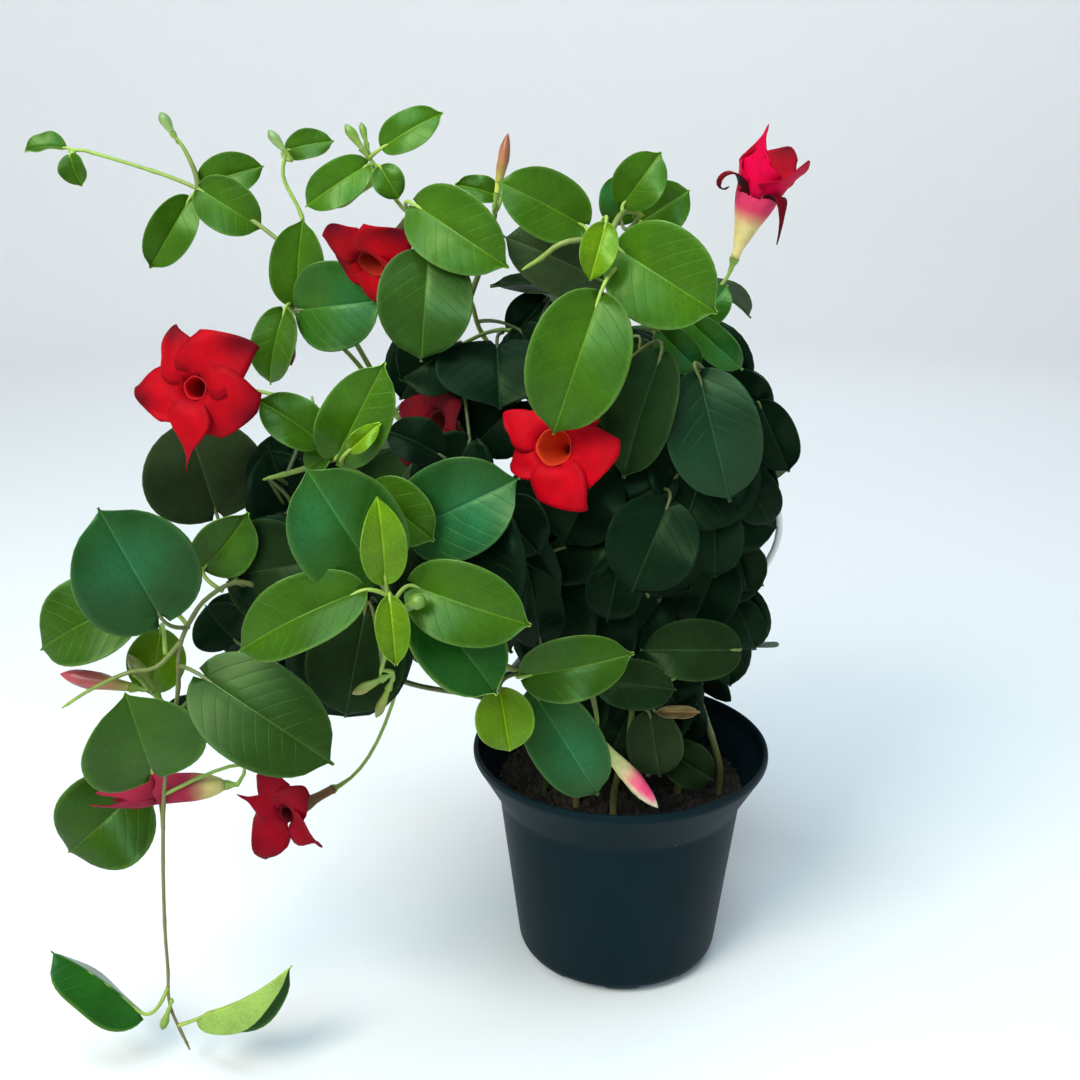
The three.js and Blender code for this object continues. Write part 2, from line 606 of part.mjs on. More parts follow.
function evenly(curve, step) {
  return curve.getSpacedPoints(Math.max(2, Math.round(curve.getLength() / step)));
}

function smooth(points) {
  return new THREE.CatmullRomCurve3(points, false, 'centripetal');
}

// Points along a line of straight pieces, one every few millimetres.
function pointsAlong(path) {
  const points = [path[0]];
  for (let k = 0; k + 1 < path.length; k += 1) {
    const count = Math.max(1, Math.round(path[k].distanceTo(path[k + 1]) / clear.sample));
    for (let i = 1; i <= count; i += 1) {
      points.push(path[k].clone().lerp(path[k + 1], i / count));
    }
  }
  return points;
}

// The places on a vine's stems nearest to a point, some way apart from each other.
function rootsFor(vine, end) {
  const near = [...vine.spine].sort((a, b) => a.distanceTo(end) - b.distanceTo(end));
  const roots = [];
  for (const p of near) {
    if (roots.length < stalk.roots && roots.every((q) => q.distanceTo(p) >= stalk.rootStep)) {
      roots.push(p);
    }
  }
  return roots;
}

// A stalk from the vine's stems to the end point, bent clear of other vines, and the room round it.
function stalkTo(vine, end, heading) {
  const turn = new THREE.Vector3(0, 0, 1).addScaledVector(heading, -heading.z).normalize();
  const across = new THREE.Vector3().crossVectors(heading, turn);
  let best = null;
  for (const root of rootsFor(vine, end)) {
    const span = root.distanceTo(end);
    for (const bend of [0, 0.25, 0.5, 0.8]) {
      for (let k = 0; k < (bend === 0 ? 1 : 8); k += 1) {
        const control = end.clone().addScaledVector(heading, -0.45 * span)
          .addScaledVector(turn, bend * span * Math.cos(k * Math.PI / 4))
          .addScaledVector(across, bend * span * Math.sin(k * Math.PI / 4));
        const curve = new THREE.QuadraticBezierCurve3(root, control, end);
        const bent = end.clone().sub(root).dot(heading) < stalk.bent * span;
        const path = curve.getPoints(span > stalk.straight || bent ? 2 : 1);
        const space = room(vine.name, pointsAlong(path), stalkNeed(vine.name));
        if (!best || space > best.space) {
          best = { path, space };
        }
        if (best.space > 0) {
          return best;
        }
      }
    }
  }
  return best;
}

function stalkPath(vine, end, heading) {
  const { path } = stalkTo(vine, end, heading);
  keep(vine.name, 'stalk', pointsAlong(path));
  return path;
}

// ---- flowers and buds ----

// Local frame of a flower or bud: its axis becomes +Z at its base.
function standAt(base, axis, spin) {
  const turn = new THREE.Quaternion().setFromUnitVectors(new THREE.Vector3(0, 0, 1), axis);
  const spun = new THREE.Quaternion();
  spun.setFromAxisAngle(new THREE.Vector3(0, 0, 1), THREE.MathUtils.degToRad(spin));
  turn.multiply(spun);
  return new THREE.Matrix4().compose(base, turn, new THREE.Vector3(1, 1, 1));
}

const throatRings = [[flower.neck, 0], [flower.neck + 0.3, 0.44], [5.4, 0.7], [flower.throat, 0.96]];
const petalRows = [[0.42, 0.5], [0.8, 0.5]];

function petalPoint(radius, opening, turn, q, t, half) {
  const spread = opening * 1.6;
  const span = radius - flower.throat;
  const wide = t * half * span * (0.5 + 0.5 * opening) + 0.2 * span * q * q;
  const out = flower.throat + span * q * Math.sin(spread);
  const high = flower.tube + span * q * Math.cos(spread) - 0.16 * span * q * q * opening + 2.2 * t * q;
  const angle = 2 * Math.PI * turn / flower.petals;
  return new THREE.Vector3(out * Math.cos(angle) - wide * Math.sin(angle),
    out * Math.sin(angle) + wide * Math.cos(angle), high);
}

// The corolla is one thin wall: rings up the funnel, and petals that part at its mouth.
function corollaSolid(radius, opening) {
  const around = 2 * flower.petals;
  const points = [];
  const faces = [];
  throatRings.forEach(([r, share], k) => {
    for (let i = 0; i < around; i += 1) {
      const angle = 2 * Math.PI * i / around;
      points.push(new THREE.Vector3(r * Math.cos(angle), r * Math.sin(angle), share * flower.tube));
      if (k > 0) {
        const a = around * (k - 1) + i;
        const b = around * (k - 1) + (i + 1) % around;
        faces.push([a, a + around, b], [b, a + around, b + around]);
      }
    }
  });
  const mouth = around * (throatRings.length - 1);
  for (let turn = 0; turn < flower.petals; turn += 1) {
    let row = [-1, 0, 1].map((step) => mouth + (2 * turn + step + around) % around);
    for (const [q, half] of petalRows) {
      const next = [-1, 0, 1].map((t) => points.push(petalPoint(radius, opening, turn, q, t, half)) - 1);
      const [l, m, r] = row;
      const [l2, m2, r2] = next;
      faces.push([l, l2, m2], [l, m2, m], [m, m2, r], [r, m2, r2]);
      row = next;
    }
    const tip = points.push(petalPoint(radius, opening, turn, 1, 0.25, 0.4)) - 1;
    faces.push([row[0], tip, row[1]], [row[1], tip, row[2]]);
  }
  return sheet(points, faces, flower.thickness);
}

function budSolid(length, radius) {
  return toSolid(turned([[0, 0], [0.5 * radius, 0], [radius, 0.58 * length], [0.8 * radius, 0.82 * length],
    [0, length]], 6));
}

function samplesOf(frame, list) {
  return list.map((p) => p.clone().applyMatrix4(frame));
}

function flowerSamples(radius, opening) {
  const list = [0.1, 0.4, 0.7, 0.95].map((share) => new THREE.Vector3(0, 0, share * flower.tube));
  for (let turn = 0; turn < flower.petals; turn += 1) {
    for (const [q, half] of [[0.35, 0.44], [0.65, 0.55], [0.95, 0.3]]) {
      [-0.8, 0, 0.8].forEach((t) => list.push(petalPoint(radius, opening, turn, q, t, half)));
    }
  }
  return list;
}

// A flower's stalk with its flared end, whose flat mouth lies just behind the flower's base.
function calyxSolid(vine, base, axis, mouth) {
  const root = base.clone().addScaledVector(axis, -gap - calyx.length);
  const points = [...stalkPath(vine, root, axis), base.clone().addScaledVector(axis, -gap)];
  return rod(points, [...points.slice(2).map(() => stalk.root), calyx.root, mouth], calyx.sides);
}

// ---- pot, soil and hoop ----

function potSolid() {
  const { rim, height, neck, neckHeight, foot, corner, wall, floor } = pot;
  const bend = [0, 45, 90].map((degrees) => {
    const angle = THREE.MathUtils.degToRad(degrees);
    return [foot - corner + corner * Math.sin(angle), corner - corner * Math.cos(angle)];
  });
  const outside = [[0, 0], ...bend, [neck - 0.6, neckHeight - 5], [neck, neckHeight],
    [neck + 3.5, neckHeight + 6], [rim - 3, height - 9], [rim, height - 4], [rim - 1, height]];
  const inside = [[rim - wall - 1, height - 1], [rim - wall - 2.6, height - 9],
    [neck - wall + soil.edge, soil.top], [neck - wall, neckHeight - 1],
    [foot - wall, corner + 3], [foot - wall - 6, floor], [0, floor]];
  const profile = [...outside, ...inside];
  let solid = toSolid(turned(profile, turns));
  for (let k = 0; k < notch.count; k += 1) {
    const box = new THREE.BoxGeometry(notch.reach, notch.width, 2 * notch.height);
    box.translate(foot, 0, 0).rotateZ(2 * Math.PI * (k + 0.5) / notch.count);
    solid = solid.subtract(toSolid(box));
  }
  return solid;
}

// The earth: its sides follow the inside of the pot, and its top is lumpy.
function soilSolid(holes) {
  const { neck, neckHeight, foot, corner, wall, floor } = pot;
  const slack = wall + gap;
  const edge = neck - slack + soil.edge;
  const profile = [[0, floor + gap], [foot - slack - 6, floor + gap], [foot - slack, corner + 3],
    [neck - slack, neckHeight - 1], [edge, soil.top]];
  const rings = [54, 36, 18];
  rings.forEach((radius) => profile.push([radius, soil.top]));
  profile.push([0, soil.top]);
  const geometry = turned(profile, turns);
  const place = geometry.getAttribute('position');
  for (let i = 0; i < place.count; i += 1) {
    const [x, y, z] = [place.getX(i), place.getY(i), place.getZ(i)];
    const distance = Math.hypot(x, y);
    if (z > soil.top - 0.01 && distance < edge - 1) {
      const lumps = Math.sin(0.23 * x + 1.3) * Math.sin(0.19 * y) + 0.6 * Math.sin(0.41 * x - 0.33 * y);
      place.setZ(i, z + soil.lump * lumps * Math.min(1, (edge - distance) / 12));
    }
  }
  let solid = toSolid(geometry);
  for (const { x, y, radius, depth } of holes) {
    const hole = new THREE.CylinderGeometry(radius, radius, depth + 20, 6).rotateX(Math.PI / 2);
    hole.translate(x, y, soil.top + 20 - (depth + 20) / 2);
    solid = solid.subtract(toSolid(hole));
  }
  return solid;
}

function hoopPath() {
  const bends = hoop.bends.map(([u, v]) => spot(u, v, hoop.depth));
  const [left, right] = [bends[0], bends[bends.length - 1]];
  const low = soil.top - hoopRod.legDepth;
  const high = soil.top + 8;
  return [new THREE.Vector3(left.x, left.y, low), new THREE.Vector3(left.x, left.y, high), ...bends,
    new THREE.Vector3(right.x, right.y, high), new THREE.Vector3(right.x, right.y, low)];
}

// ---- growing the plant ----

const mandevilla = new THREE.Group();
const holes = [];

const rodPoints = evenly(smooth(hoopPath()), hoopRod.step);
keep('hoop', 'rod', pointsAlong(rodPoints));
for (const p of [rodPoints[0], rodPoints[rodPoints.length - 1]]) {
  holes.push({ x: p.x, y: p.y, radius: hoopRod.radius + gap + 0.2, depth: hoopRod.legDepth + gap });
}

const rimRing = [];
for (let degrees = 0; degrees < 360; degrees += 4) {
  for (const z of [pot.height, pot.height - 8]) {
    rimRing.push(new THREE.Vector3(pot.rim * cosine(degrees), pot.rim * cosine(degrees - 90), z));
  }
}
keep('pot', 'rod', rimRing);

const grown = [];
function startVine(name, crown, routes) {
  const vine = { name, solids: [], leaves: [], spine: [], ends: [] };
  routes.forEach((route, k) => {
    const foot = [-soil.holeDepth, -soil.holeDepth / 2, 0, stem.rise];
    const start = foot.map((z) => new THREE.Vector3(...crown, soil.top + z));
    const curve = smooth(k === 0 ? [...start, ...route] : [rootsFor(vine, route[0])[0], ...route.slice(1)]);
    const thick = k === 0 ? stem.foot : 0.55 * (stem.foot + stem.tip);
    vine.main = vine.main ?? curve;
    const steps = evenly(curve, stem.step);
    const radii = steps.map((p, i) => thick + (stem.tip - thick) * i / (steps.length - 1));
    vine.solids.push(rod(steps, radii, stem.sides));
    const fine = pointsAlong(steps);
    const free = fine.filter((p) => p.z > soil.top + stalk.above || Math.hypot(p.x, p.y) > pot.rim);
    vine.spine.push(...free.slice(0, -1));
    keep(name, 'stem', fine);
  });
  holes.push({ x: crown[0], y: crown[1], radius: stem.foot + stem.holeSlack, depth: soil.holeDepth + gap });
  grown.push(vine);
  return vine;
}

for (const [name, plan] of Object.entries(vines)) {
  startVine(name, plan.crown, plan.stems.map((route) => route.map((place) => spot(...place))));
}
for (const [name, plan] of Object.entries(backVines)) {
  startVine(name, plan.crown, [plan.route.map((place) => new THREE.Vector3(...place))]);
}
const vineNamed = (name) => grown.find((vine) => vine.name === name);

// Flowers and buds take their places first, and the leaves keep clear of them.
for (const [name, plan] of Object.entries(vines)) {
  const vine = vineNamed(name);
  for (const [title, throat, tail, radius, spin, opening] of plan.flowers) {
    const axis = spot(...throat).sub(spot(...tail)).normalize();
    const base = spot(...throat).addScaledVector(axis, -flower.tube);
    const frame = standAt(base, axis, spin);
    keep(name, 'flower', samplesOf(frame, flowerSamples(radius, opening)));
    const solid = corollaSolid(radius, opening);
    vine.ends.push({ title, base, axis, mouth: calyx.mouth, solid, frame });
  }
  for (const [title, from, to, radius] of plan.buds) {
    const base = spot(...from);
    const axis = spot(...to).sub(base);
    const length = axis.length();
    axis.divideScalar(length);
    const frame = standAt(base, axis, 0);
    const points = [0.1, 0.4, 0.7, 1].map((share) => new THREE.Vector3(0, 0, share * length));
    keep(name, 'flower', samplesOf(frame, points));
    const solid = budSolid(length, radius);
    vine.ends.push({ title, base, axis, mouth: 0.6 * radius, solid, frame });
  }
}

// Leaves from front to back: each one moves back along the line of sight until it is clear.
const rows = Object.entries(vines).flatMap(([name, plan]) => plan.leaves.map((row) => ({ name, row })));
rows.sort((a, b) => a.row[5] - b.row[5]);
rows.forEach(({ name, row }, index) => {
  let best = null;
  for (let k = 0; k < shift.count && !(best && best.space > 0); k += 1) {
    const leaf = rowLeaf(row, k * shift.step, 1.7 * index);
    const space = room(name, leafSamples(leaf), leafNeed(name));
    if (!best || space > best.space) {
      best = { leaf, space };
    }
  }
  keep(name, 'leaf', leafSamples(best.leaf));
  vineNamed(name).leaves.push(best.leaf);
});

for (const vine of grown) {
  for (const leaf of vine.leaves) {
    leaf.path = stalkPath(vine, leaf.base, leaf.along);
  }
  for (const end of vine.ends) {
    vine.solids.push(calyxSolid(vine, end.base, end.axis, end.mouth));
  }
}

for (const [name, from, to, seed] of pairRuns) {
  const random = drawer(seed);
  const vine = vineNamed(name);
  const count = Math.floor(vine.main.getLength() * (to - from) / pairRule.spacing);
  for (let k = 0; k <= count; k += 1) {
    const point = vine.main.getPointAt(Math.min(1, from + (to - from) * k / count));
    const heading = k * Math.PI / 2 + (random() - 0.5) * pairRule.spread;
    for (const side of [0, Math.PI]) {
      const out = new THREE.Vector3(Math.cos(heading + side), Math.sin(heading + side), 0);
      const size = 0.82 + 0.36 * random();
      const fall = pairRule.fall * (0.6 + 0.9 * random());
      const base = point.clone().addScaledVector(out, pairRule.stalk).add(new THREE.Vector3(0, 0, 5));
      const tip = base.clone().addScaledVector(out, pairRule.length * size * Math.cos(fall));
      tip.z -= pairRule.length * size * Math.sin(fall);
      const facing = new THREE.Vector3(0, 0, 1).addScaledVector(out, 0.4);
      const shape = { roll: 24 * (random() - 0.5), fold: 12, arc: 0.1, phase: 6 * random(), plain: 20 };
      const leaf = makeLeaf(base, tip, pairRule.width * size, facing, shape);
      const samples = leafSamples(leaf);
      const inside = samples.every((p) => seenAcross(p) < pairRule.farthest);
      if (inside && room(name, samples, leafNeed(name)) > 0 && stalkTo(vine, base, leaf.along).space > 0) {
        keep(name, 'leaf', samples);
        leaf.path = stalkPath(vine, base, leaf.along);
        vine.leaves.push(leaf);
      }
    }
  }
}

for (const vine of grown) {
  const leaves = vine.leaves.map((leaf) => leafSolid(leaf, leaf.path));
  const tint = leafTints[vine.name] ?? leafTints.usual;
  mandevilla.add(toMesh(vine.name, joinAll([...vine.solids, ...leaves]), finish(tint, 0.35)));
}
for (const end of grown.flatMap((vine) => vine.ends)) {
  const tint = petalTints[end.title] ?? petalTints.usual;
  mandevilla.add(toMesh(end.title, end.solid.transform(end.frame.toArray()), finish(tint, 0.5)));
}
mandevilla.add(toMesh('pot', potSolid(), finish(potTint, 0.45)));
mandevilla.add(toMesh('soil', soilSolid(holes), finish(soilTint, 0.95)));
const rodSolid = rod(rodPoints, rodPoints.map(() => hoopRod.radius), hoopRod.sides);
mandevilla.add(toMesh('trellis_hoop', rodSolid, finish(hoopTint, 0.4)));

export default mandevilla;
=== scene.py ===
import math

import bpy
import numpy as np
from mathutils import Matrix, Quaternion, Vector, noise


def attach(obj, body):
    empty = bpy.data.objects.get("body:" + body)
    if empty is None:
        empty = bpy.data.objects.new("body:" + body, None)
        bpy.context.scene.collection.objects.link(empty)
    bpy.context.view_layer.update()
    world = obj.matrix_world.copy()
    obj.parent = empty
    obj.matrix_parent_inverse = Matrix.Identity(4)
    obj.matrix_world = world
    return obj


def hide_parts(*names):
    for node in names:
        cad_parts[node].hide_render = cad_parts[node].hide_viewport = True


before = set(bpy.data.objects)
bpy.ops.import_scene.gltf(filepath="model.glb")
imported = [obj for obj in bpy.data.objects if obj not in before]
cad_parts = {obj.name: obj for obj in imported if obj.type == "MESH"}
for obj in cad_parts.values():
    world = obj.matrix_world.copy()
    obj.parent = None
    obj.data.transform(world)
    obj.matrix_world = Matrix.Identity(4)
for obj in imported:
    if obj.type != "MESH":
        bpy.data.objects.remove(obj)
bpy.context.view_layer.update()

mm = 0.001  # the sizes below are in millimetres, Blender's in metres

# Places on the plant are given as seen from a point in front of it: u to the right and v down in a
# square of 1080 units, with the depth along Y in millimetres.
eye = {"place": np.array([-46.3, -678.1, 476.4]), "middle": 540, "focal": 1300, "pitch": 18.2, "lens": 43.333,
       "sensor": 36}
pitchCos, pitchSin = math.cos(math.radians(eye["pitch"])), math.sin(math.radians(eye["pitch"]))

# Each vine: its place in the soil, its stems, and rows for what grows on it.
# leaves: u, v of the base, u, v of the tip, width, depth, lean, roll, fold, arc, tone; the deep and shade tones are
# painted shade.
# flowers: name, throat, a point down the tube, radius, spin, opening. buds: name, base, tip, radius.
vines = {
    "vine_front": {
        "slot": "leaf_young", "crown": (-26, -30),
        "stems": [[(590, 700, -52), (520, 672, -75), (450, 640, -110), (408, 612, -138), (386, 593, -150)],
                  [(386, 593, -150), (388, 640, -140), (380, 675, -128)]],
        "leaves": [
            (385, 578, 377, 497, 50, -152, 0.2, 10, 12, 0.08, "young"),
            (390, 600, 396, 665, 38, -158, 0.3, 0, 16, 0.1, "young"),
            (358, 592, 238, 652, 62, -150, 0, 25, 30, 0.1, "bright"),
            (414, 586, 531, 625, 85, -148, 0.2, 8, 10, 0.08, "bright"),
            (424, 605, 497, 695, 90, -132, 0.3, -10, 12, 0.1, "mid"),
            (375, 575, 305, 467, 115, -136, 0.2, 0, 8, 0.07, "mid"),
            (365, 610, 345, 718, 95, -112, 0.2, 0, 10, 0.08, "deep"),
        ],
        "buds": [
            ("bud_front_a", (380, 680, -127), (352, 694, -127), 3.4),
            ("bud_front_b", (388, 690, -126), (376, 718, -126), 3.2),
            ("bud_front_c", (410, 606, -152), (424, 598, -156), 3.6),
        ],
    },
    "vine_hanging": {
        "slot": "leaf_mature", "crown": (-44, -20),
        "stems": [[(500, 705, -50), (400, 680, -72), (300, 620, -92), (240, 582, -108), (205, 600, -116),
                   (192, 618, -120), (180, 645, -123), (178, 690, -123), (172, 730, -121), (165, 780, -119),
                   (163, 850, -116), (165, 930, -114), (168, 970, -113), (170, 1005, -113), (190, 1050, -114)],
                  [(180, 645, -123), (155, 668, -128), (130, 672, -132), (90, 690, -133), (62, 708, -130)],
                  [(172, 730, -121), (158, 752, -124), (140, 782, -124)]],
        "leaves": [
            (160, 616, 98, 508, 125, -134, 0.3, 0, 8, 0.07, "teal"),
            (205, 678, 334, 765, 108, -134, 0.3, 0, 10, 0.1, "teal"),
            (152, 772, 125, 693, 108, -128, 0.3, 15, 24, 0.06, "bright"),
            (136, 790, 68, 853, 95, -122, 0.3, -15, 24, 0.16, "bright"),
            (138, 600, 40, 650, 80, -118, 0.1, 20, 14, 0.1, "dark"),
            (160, 632, 152, 695, 50, -113, 0, 30, 14, 0.08, "bright"),
            (195, 700, 175, 745, 40, -102, 0, 20, 15, 0.1, "dark"),
            (235, 640, 205, 605, 50, -98, 0, -20, 15, 0.1, "deep"),
            (245, 600, 225, 650, 45, -94, 0, 30, 15, 0.1, "deep"),
            (290, 640, 262, 658, 24, -94, 0, 0, 20, 0.1, "deep"),
            (232, 576, 325, 560, 95, -104, 0.2, 10, 10, 0.08, "deep"),
            (216, 512, 185, 415, 113, -88, 0.2, 0, 8, 0.07, "dark"),
            (205, 566, 248, 512, 60, -106, 0, 20, 14, 0.1, "bright"),
            (140, 1012, 51, 951, 46, -114, 0, 42, -42, 0.06, "roof"),
            (203, 1016, 292, 966, 36, -112, 0, 78, 60, 0.06, "turned"),
        ],
        "flowers": [
            ("corolla_faded", (150, 789, -110), (226, 785, -106), 25, 10, 0.28),
            ("corolla_low", (285, 815, -110), (322, 795, -86), 27, 25, 0.82),
        ],
        "buds": [
            ("bud_left_large", (130, 687, -122), (60, 674, -122), 4.4),
            ("bud_left_small", (155, 692, -116), (128, 654, -112), 3.6),
            ("bud_stem_end", (168, 1012, -116), (162, 1030, -118), 2.2),
        ],
    },
    "vine_upper_left": {
        "slot": "leaf_young", "crown": (-34, -4),
        "stems": [[(560, 660, -22), (480, 580, -55), (420, 515, -82), (370, 480, -102), (338, 460, -110),
                   (315, 430, -104), (312, 396, -98)], [(338, 460, -110), (300, 470, -98), (262, 480, -90)]],
        "leaves": [
            (350, 450, 380, 423, 22, -122, 0, 0, 20, 0.08, "young"),
            (336, 458, 385, 362, 70, -114, 0.2, 0, 12, 0.08, "bright"),
            (318, 440, 258, 400, 50, -112, 0, 15, 14, 0.08, "bright"),
            (330, 455, 305, 470, 24, -106, 0, 30, 20, 0.08, "bright"),
            (345, 450, 375, 455, 20, -108, 0, 30, 20, 0.08, "young"),
            (372, 490, 434, 541, 62, -122, 0.2, 0, 14, 0.1, "bright"),
            (412, 530, 520, 478, 100, -112, 0.2, 0, 10, 0.08, "teal"),
            (500, 505, 540, 555, 60, -92, 0.2, 15, 12, 0.1, "deep"),
            (440, 455, 385, 430, 40, -88, 0, 20, 15, 0.1, "deep"),
            (300, 440, 262, 520, 55, -92, 0.1, 20, 12, 0.1, "deep"),
            (287, 513, 243, 537, 12, -104, 0, 65, 10, 0.1, "deep"),
        ],
        "flowers": [("corolla_left", (194, 388, -126), (232, 388, -88), 35, 12, 0.95)],
    },
    "vine_low_front": {
        "slot": "leaf_mature", "crown": (-6, -46),
        "stems": [[(630, 700, -52), (590, 690, -68), (545, 675, -84), (515, 672, -92)],
                  [(630, 700, -52), (650, 690, -56), (690, 668, -56), (725, 640, -50)],
                  [(590, 690, -68), (596, 712, -68), (598, 728, -67)]],
        "leaves": [
            (527, 676, 634, 653, 68, -108, 0.1, 10, 10, 0.1, "bright"),
            (500, 691, 510, 752, 62, -102, 0.2, 0, 28, 0.1, "young"),
            (540, 640, 526, 562, 48, -92, 0.1, 10, 14, 0.08, "deep"),
            (535, 695, 598, 795, 78, -86, 0, 0, 12, 0.12, "teal"),
            (600, 680, 677, 690, 50, -74, 0.1, 0, 12, 0.1, "dark"),
            (735, 650, 640, 650, 60, -68, 0, 0, 10, 0.1, "dark"),
            (660, 712, 700, 712, 14, -60, 0, 0, 30, 0.1, "dry"),
            (650, 715, 660, 777, 60, -56, 0.1, 0, 10, 0.1, "dull"),
            (665, 750, 713, 780, 45, -44, 0, 0, 14, 0.1, "dark"),
            (735, 600, 756, 650, 35, -38, 0, 0, 14, 0.1, "deep"),
        ],
        "buds": [("bud_low", (598, 740, -74), (658, 808, -78), 4.8)],
    },
    "vine_core": {
        "slot": "leaf_shaded", "crown": (10, -20),
        "stems": [[(655, 650, -45), (645, 580, -52), (632, 500, -50), (610, 420, -44), (570, 350, -34),
                   (500, 330, -24), (450, 350, -28)], [(610, 420, -44), (606, 440, -40)]],
        "leaves": [
            (668, 505, 632, 592, 80, -80, 0.2, 0, 10, 0.1, "deep"),
            (660, 358, 624, 478, 46, -76, 0, 25, 16, 0.08, "dark"),
            (620, 560, 607, 622, 50, -74, 0.1, 0, 12, 0.1, "deep"),
            (672, 480, 606, 520, 42, -70, 0, 20, 12, 0.1, "deep"),
            (655, 430, 698, 490, 50, -60, 0.1, 0, 12, 0.1, "deep"),
            (640, 345, 622, 450, 56, -54, 0.1, 15, 12, 0.1, "dark"),
            (497, 345, 500, 410, 105, -52, 0.4, 0, 8, 0.1, "deep"),
            (455, 345, 400, 380, 60, -40, 0.1, 0, 12, 0.1, "deep"),
            (452, 372, 474, 432, 56, -44, 0.1, 0, 12, 0.1, "deep"),
            (545, 300, 510, 340, 36, -20, 0, 10, 12, 0.1, "deep"),
            (600, 470, 562, 545, 72, -66, 0.1, 0, 10, 0.1, "deep"),
            (560, 480, 515, 530, 60, -60, 0, 10, 12, 0.1, "deep"),
            (590, 540, 560, 600, 62, -60, 0, 0, 12, 0.1, "deep"),
            (640, 530, 690, 590, 66, -56, 0, 0, 10, 0.1, "deep"),
            (660, 600, 618, 660, 58, -58, 0, 0, 10, 0.1, "deep"),
            (600, 395, 640, 420, 60, -46, 0, 0, 10, 0.1, "deep"),
        ],
        "flowers": [
            ("corolla_middle", (553, 447, -82), (580, 452, -48), 29, 20, 0.95),
            ("corolla_shade", (434, 424, -36), (478, 436, -18), 25, 40, 0.85),
        ],
    },
    "vine_right": {
        "slot": "leaf_shaded", "crown": (56, -16),
        "stems": [[(690, 650, -16), (712, 590, -24), (720, 520, -30), (722, 450, -32), (728, 400, -30),
                   (735, 375, -26)], [(722, 450, -32), (748, 425, -26), (762, 408, -22)]],
        "leaves": [
            (700, 378, 730, 502, 92, -74, 0.1, 0, 10, 0.1, "shade"),
            (715, 505, 715, 577, 50, -66, 0.1, 0, 12, 0.1, "deep"),
            (740, 470, 772, 525, 42, -48, 0, 0, 14, 0.1, "deep"),
            (735, 545, 748, 592, 45, -44, 0.1, 0, 14, 0.1, "deep"),
            (722, 378, 772, 412, 38, -30, 0, 0, 14, 0.1, "deep"),
            (760, 405, 789, 472, 40, -32, 0, 0, 14, 0.1, "deep"),
            (762, 462, 774, 496, 16, -24, 0, 0, 20, 0.1, "deep"),
            (690, 440, 650, 500, 64, -54, 0, 0, 10, 0.1, "deep"),
            (720, 560, 690, 630, 60, -46, 0, 0, 10, 0.1, "deep"),
            (745, 440, 700, 400, 54, -36, 0, 0, 12, 0.1, "deep"),
        ],
    },
    "vine_top_centre": {
        "slot": "leaf_mature", "crown": (32, -20),
        "stems": [[(668, 640, -2), (668, 540, -14), (665, 440, -28), (662, 380, -40), (655, 330, -50),
                   (628, 275, -58), (605, 228, -58)],
                  [(655, 330, -50), (690, 312, -34), (714, 290, -14)],
                  [(605, 228, -58), (624, 212, -42), (645, 216, -28)],
                  [(605, 228, -58), (588, 240, -62), (570, 241, -64), (555, 247, -64), (543, 257, -62),
                   (522, 270, -58)]],
        "leaves": [
            (598, 300, 553, 435, 98, -92, 0.1, 0, 10, 0.1, "bright"),
            (605, 226, 590, 281, 37, -82, 0.2, 0, 16, 0.1, "young"),
            (620, 250, 717, 313, 95, -72, 0.3, 0, 10, 0.1, "bright"),
            (582, 225, 497, 181, 62, -52, 0.1, 10, 12, 0.08, "bright"),
            (660, 332, 700, 372, 36, -56, 0.1, 0, 14, 0.1, "mid"),
            (688, 320, 743, 370, 34, -46, 0, 0, 16, 0.1, "mid"),
            (624, 203, 661, 152, 48, -42, 0.1, 0, 14, 0.08, "bright"),
            (600, 280, 503, 236, 65, -32, 0.1, 10, 10, 0.08, "dull"),
            (600, 298, 490, 287, 20, -26, 0, 60, 10, 0.08, "dark"),
            (640, 222, 690, 190, 50, -24, 0.1, 0, 12, 0.08, "bright"),
            (622, 222, 618, 172, 40, -14, 0.1, 0, 12, 0.08, "mid"),
            (700, 320, 728, 285, 35, -18, 0.1, 0, 12, 0.08, "mid"),
        ],
        "flowers": [("corolla_top_right", (760, 188, -14), (728, 277, -8), 35, 15, 0.4)],
    },
    "vine_top": {
        "slot": "leaf_mature", "crown": (-12, 14),
        "stems": [[(610, 620, 14), (575, 500, 16), (530, 400, 12), (480, 330, 2), (470, 300, -4),
                   (432, 254, -10), (415, 220, -12), (400, 205, -12), (385, 183, -11), (377, 168, -10), (364, 152, -9)],
                  [(470, 300, -4), (490, 240, -14), (497, 205, -22)]],
        "leaves": [
            (428, 256, 421, 362, 90, -44, 0.3, 0, 8, 0.1, "mid"),
            (417, 206, 509, 268, 72, -34, 0.5, 0, 10, 0.12, "bright"),
            (385, 146, 443, 113, 36, -14, 0, 10, 14, 0.08, "bright"),
            (366, 166, 305, 207, 46, -14, 0, 10, 14, 0.1, "bright"),
            (381, 168, 399, 199, 30, -18, 0.1, 0, 16, 0.1, "bright"),
            (375, 172, 333, 209, 24, -4, 0, 150, 16, 0.1, "bright"),
            (497, 195, 455, 185, 25, -20, 0, 20, 14, 0.08, "bright"),
        ],
        "flowers": [("corolla_far", (370, 266, -2), (398, 232, 18), 25, 0, 0.7)],
        "buds": [
            ("bud_top_fat", (361, 147, -10), (345, 124, -10), 3.4),
            ("bud_top_thin", (366, 142, -6), (361, 122, -4), 2.4),
            ("bud_top_middle", (497, 193, -30), (508, 133, -30), 3.1),
        ],
    },
    "vine_back_left": {
        "slot": "leaf_shaded", "crown": (-30, 26),
        "stems": [[(560, 620, 44), (480, 520, 52), (400, 420, 48), (345, 350, 42), (300, 318, 34),
                   (288, 300, 34), (296, 262, 40), (303, 222, 46), (283, 175, 50), (286, 152, 50)],
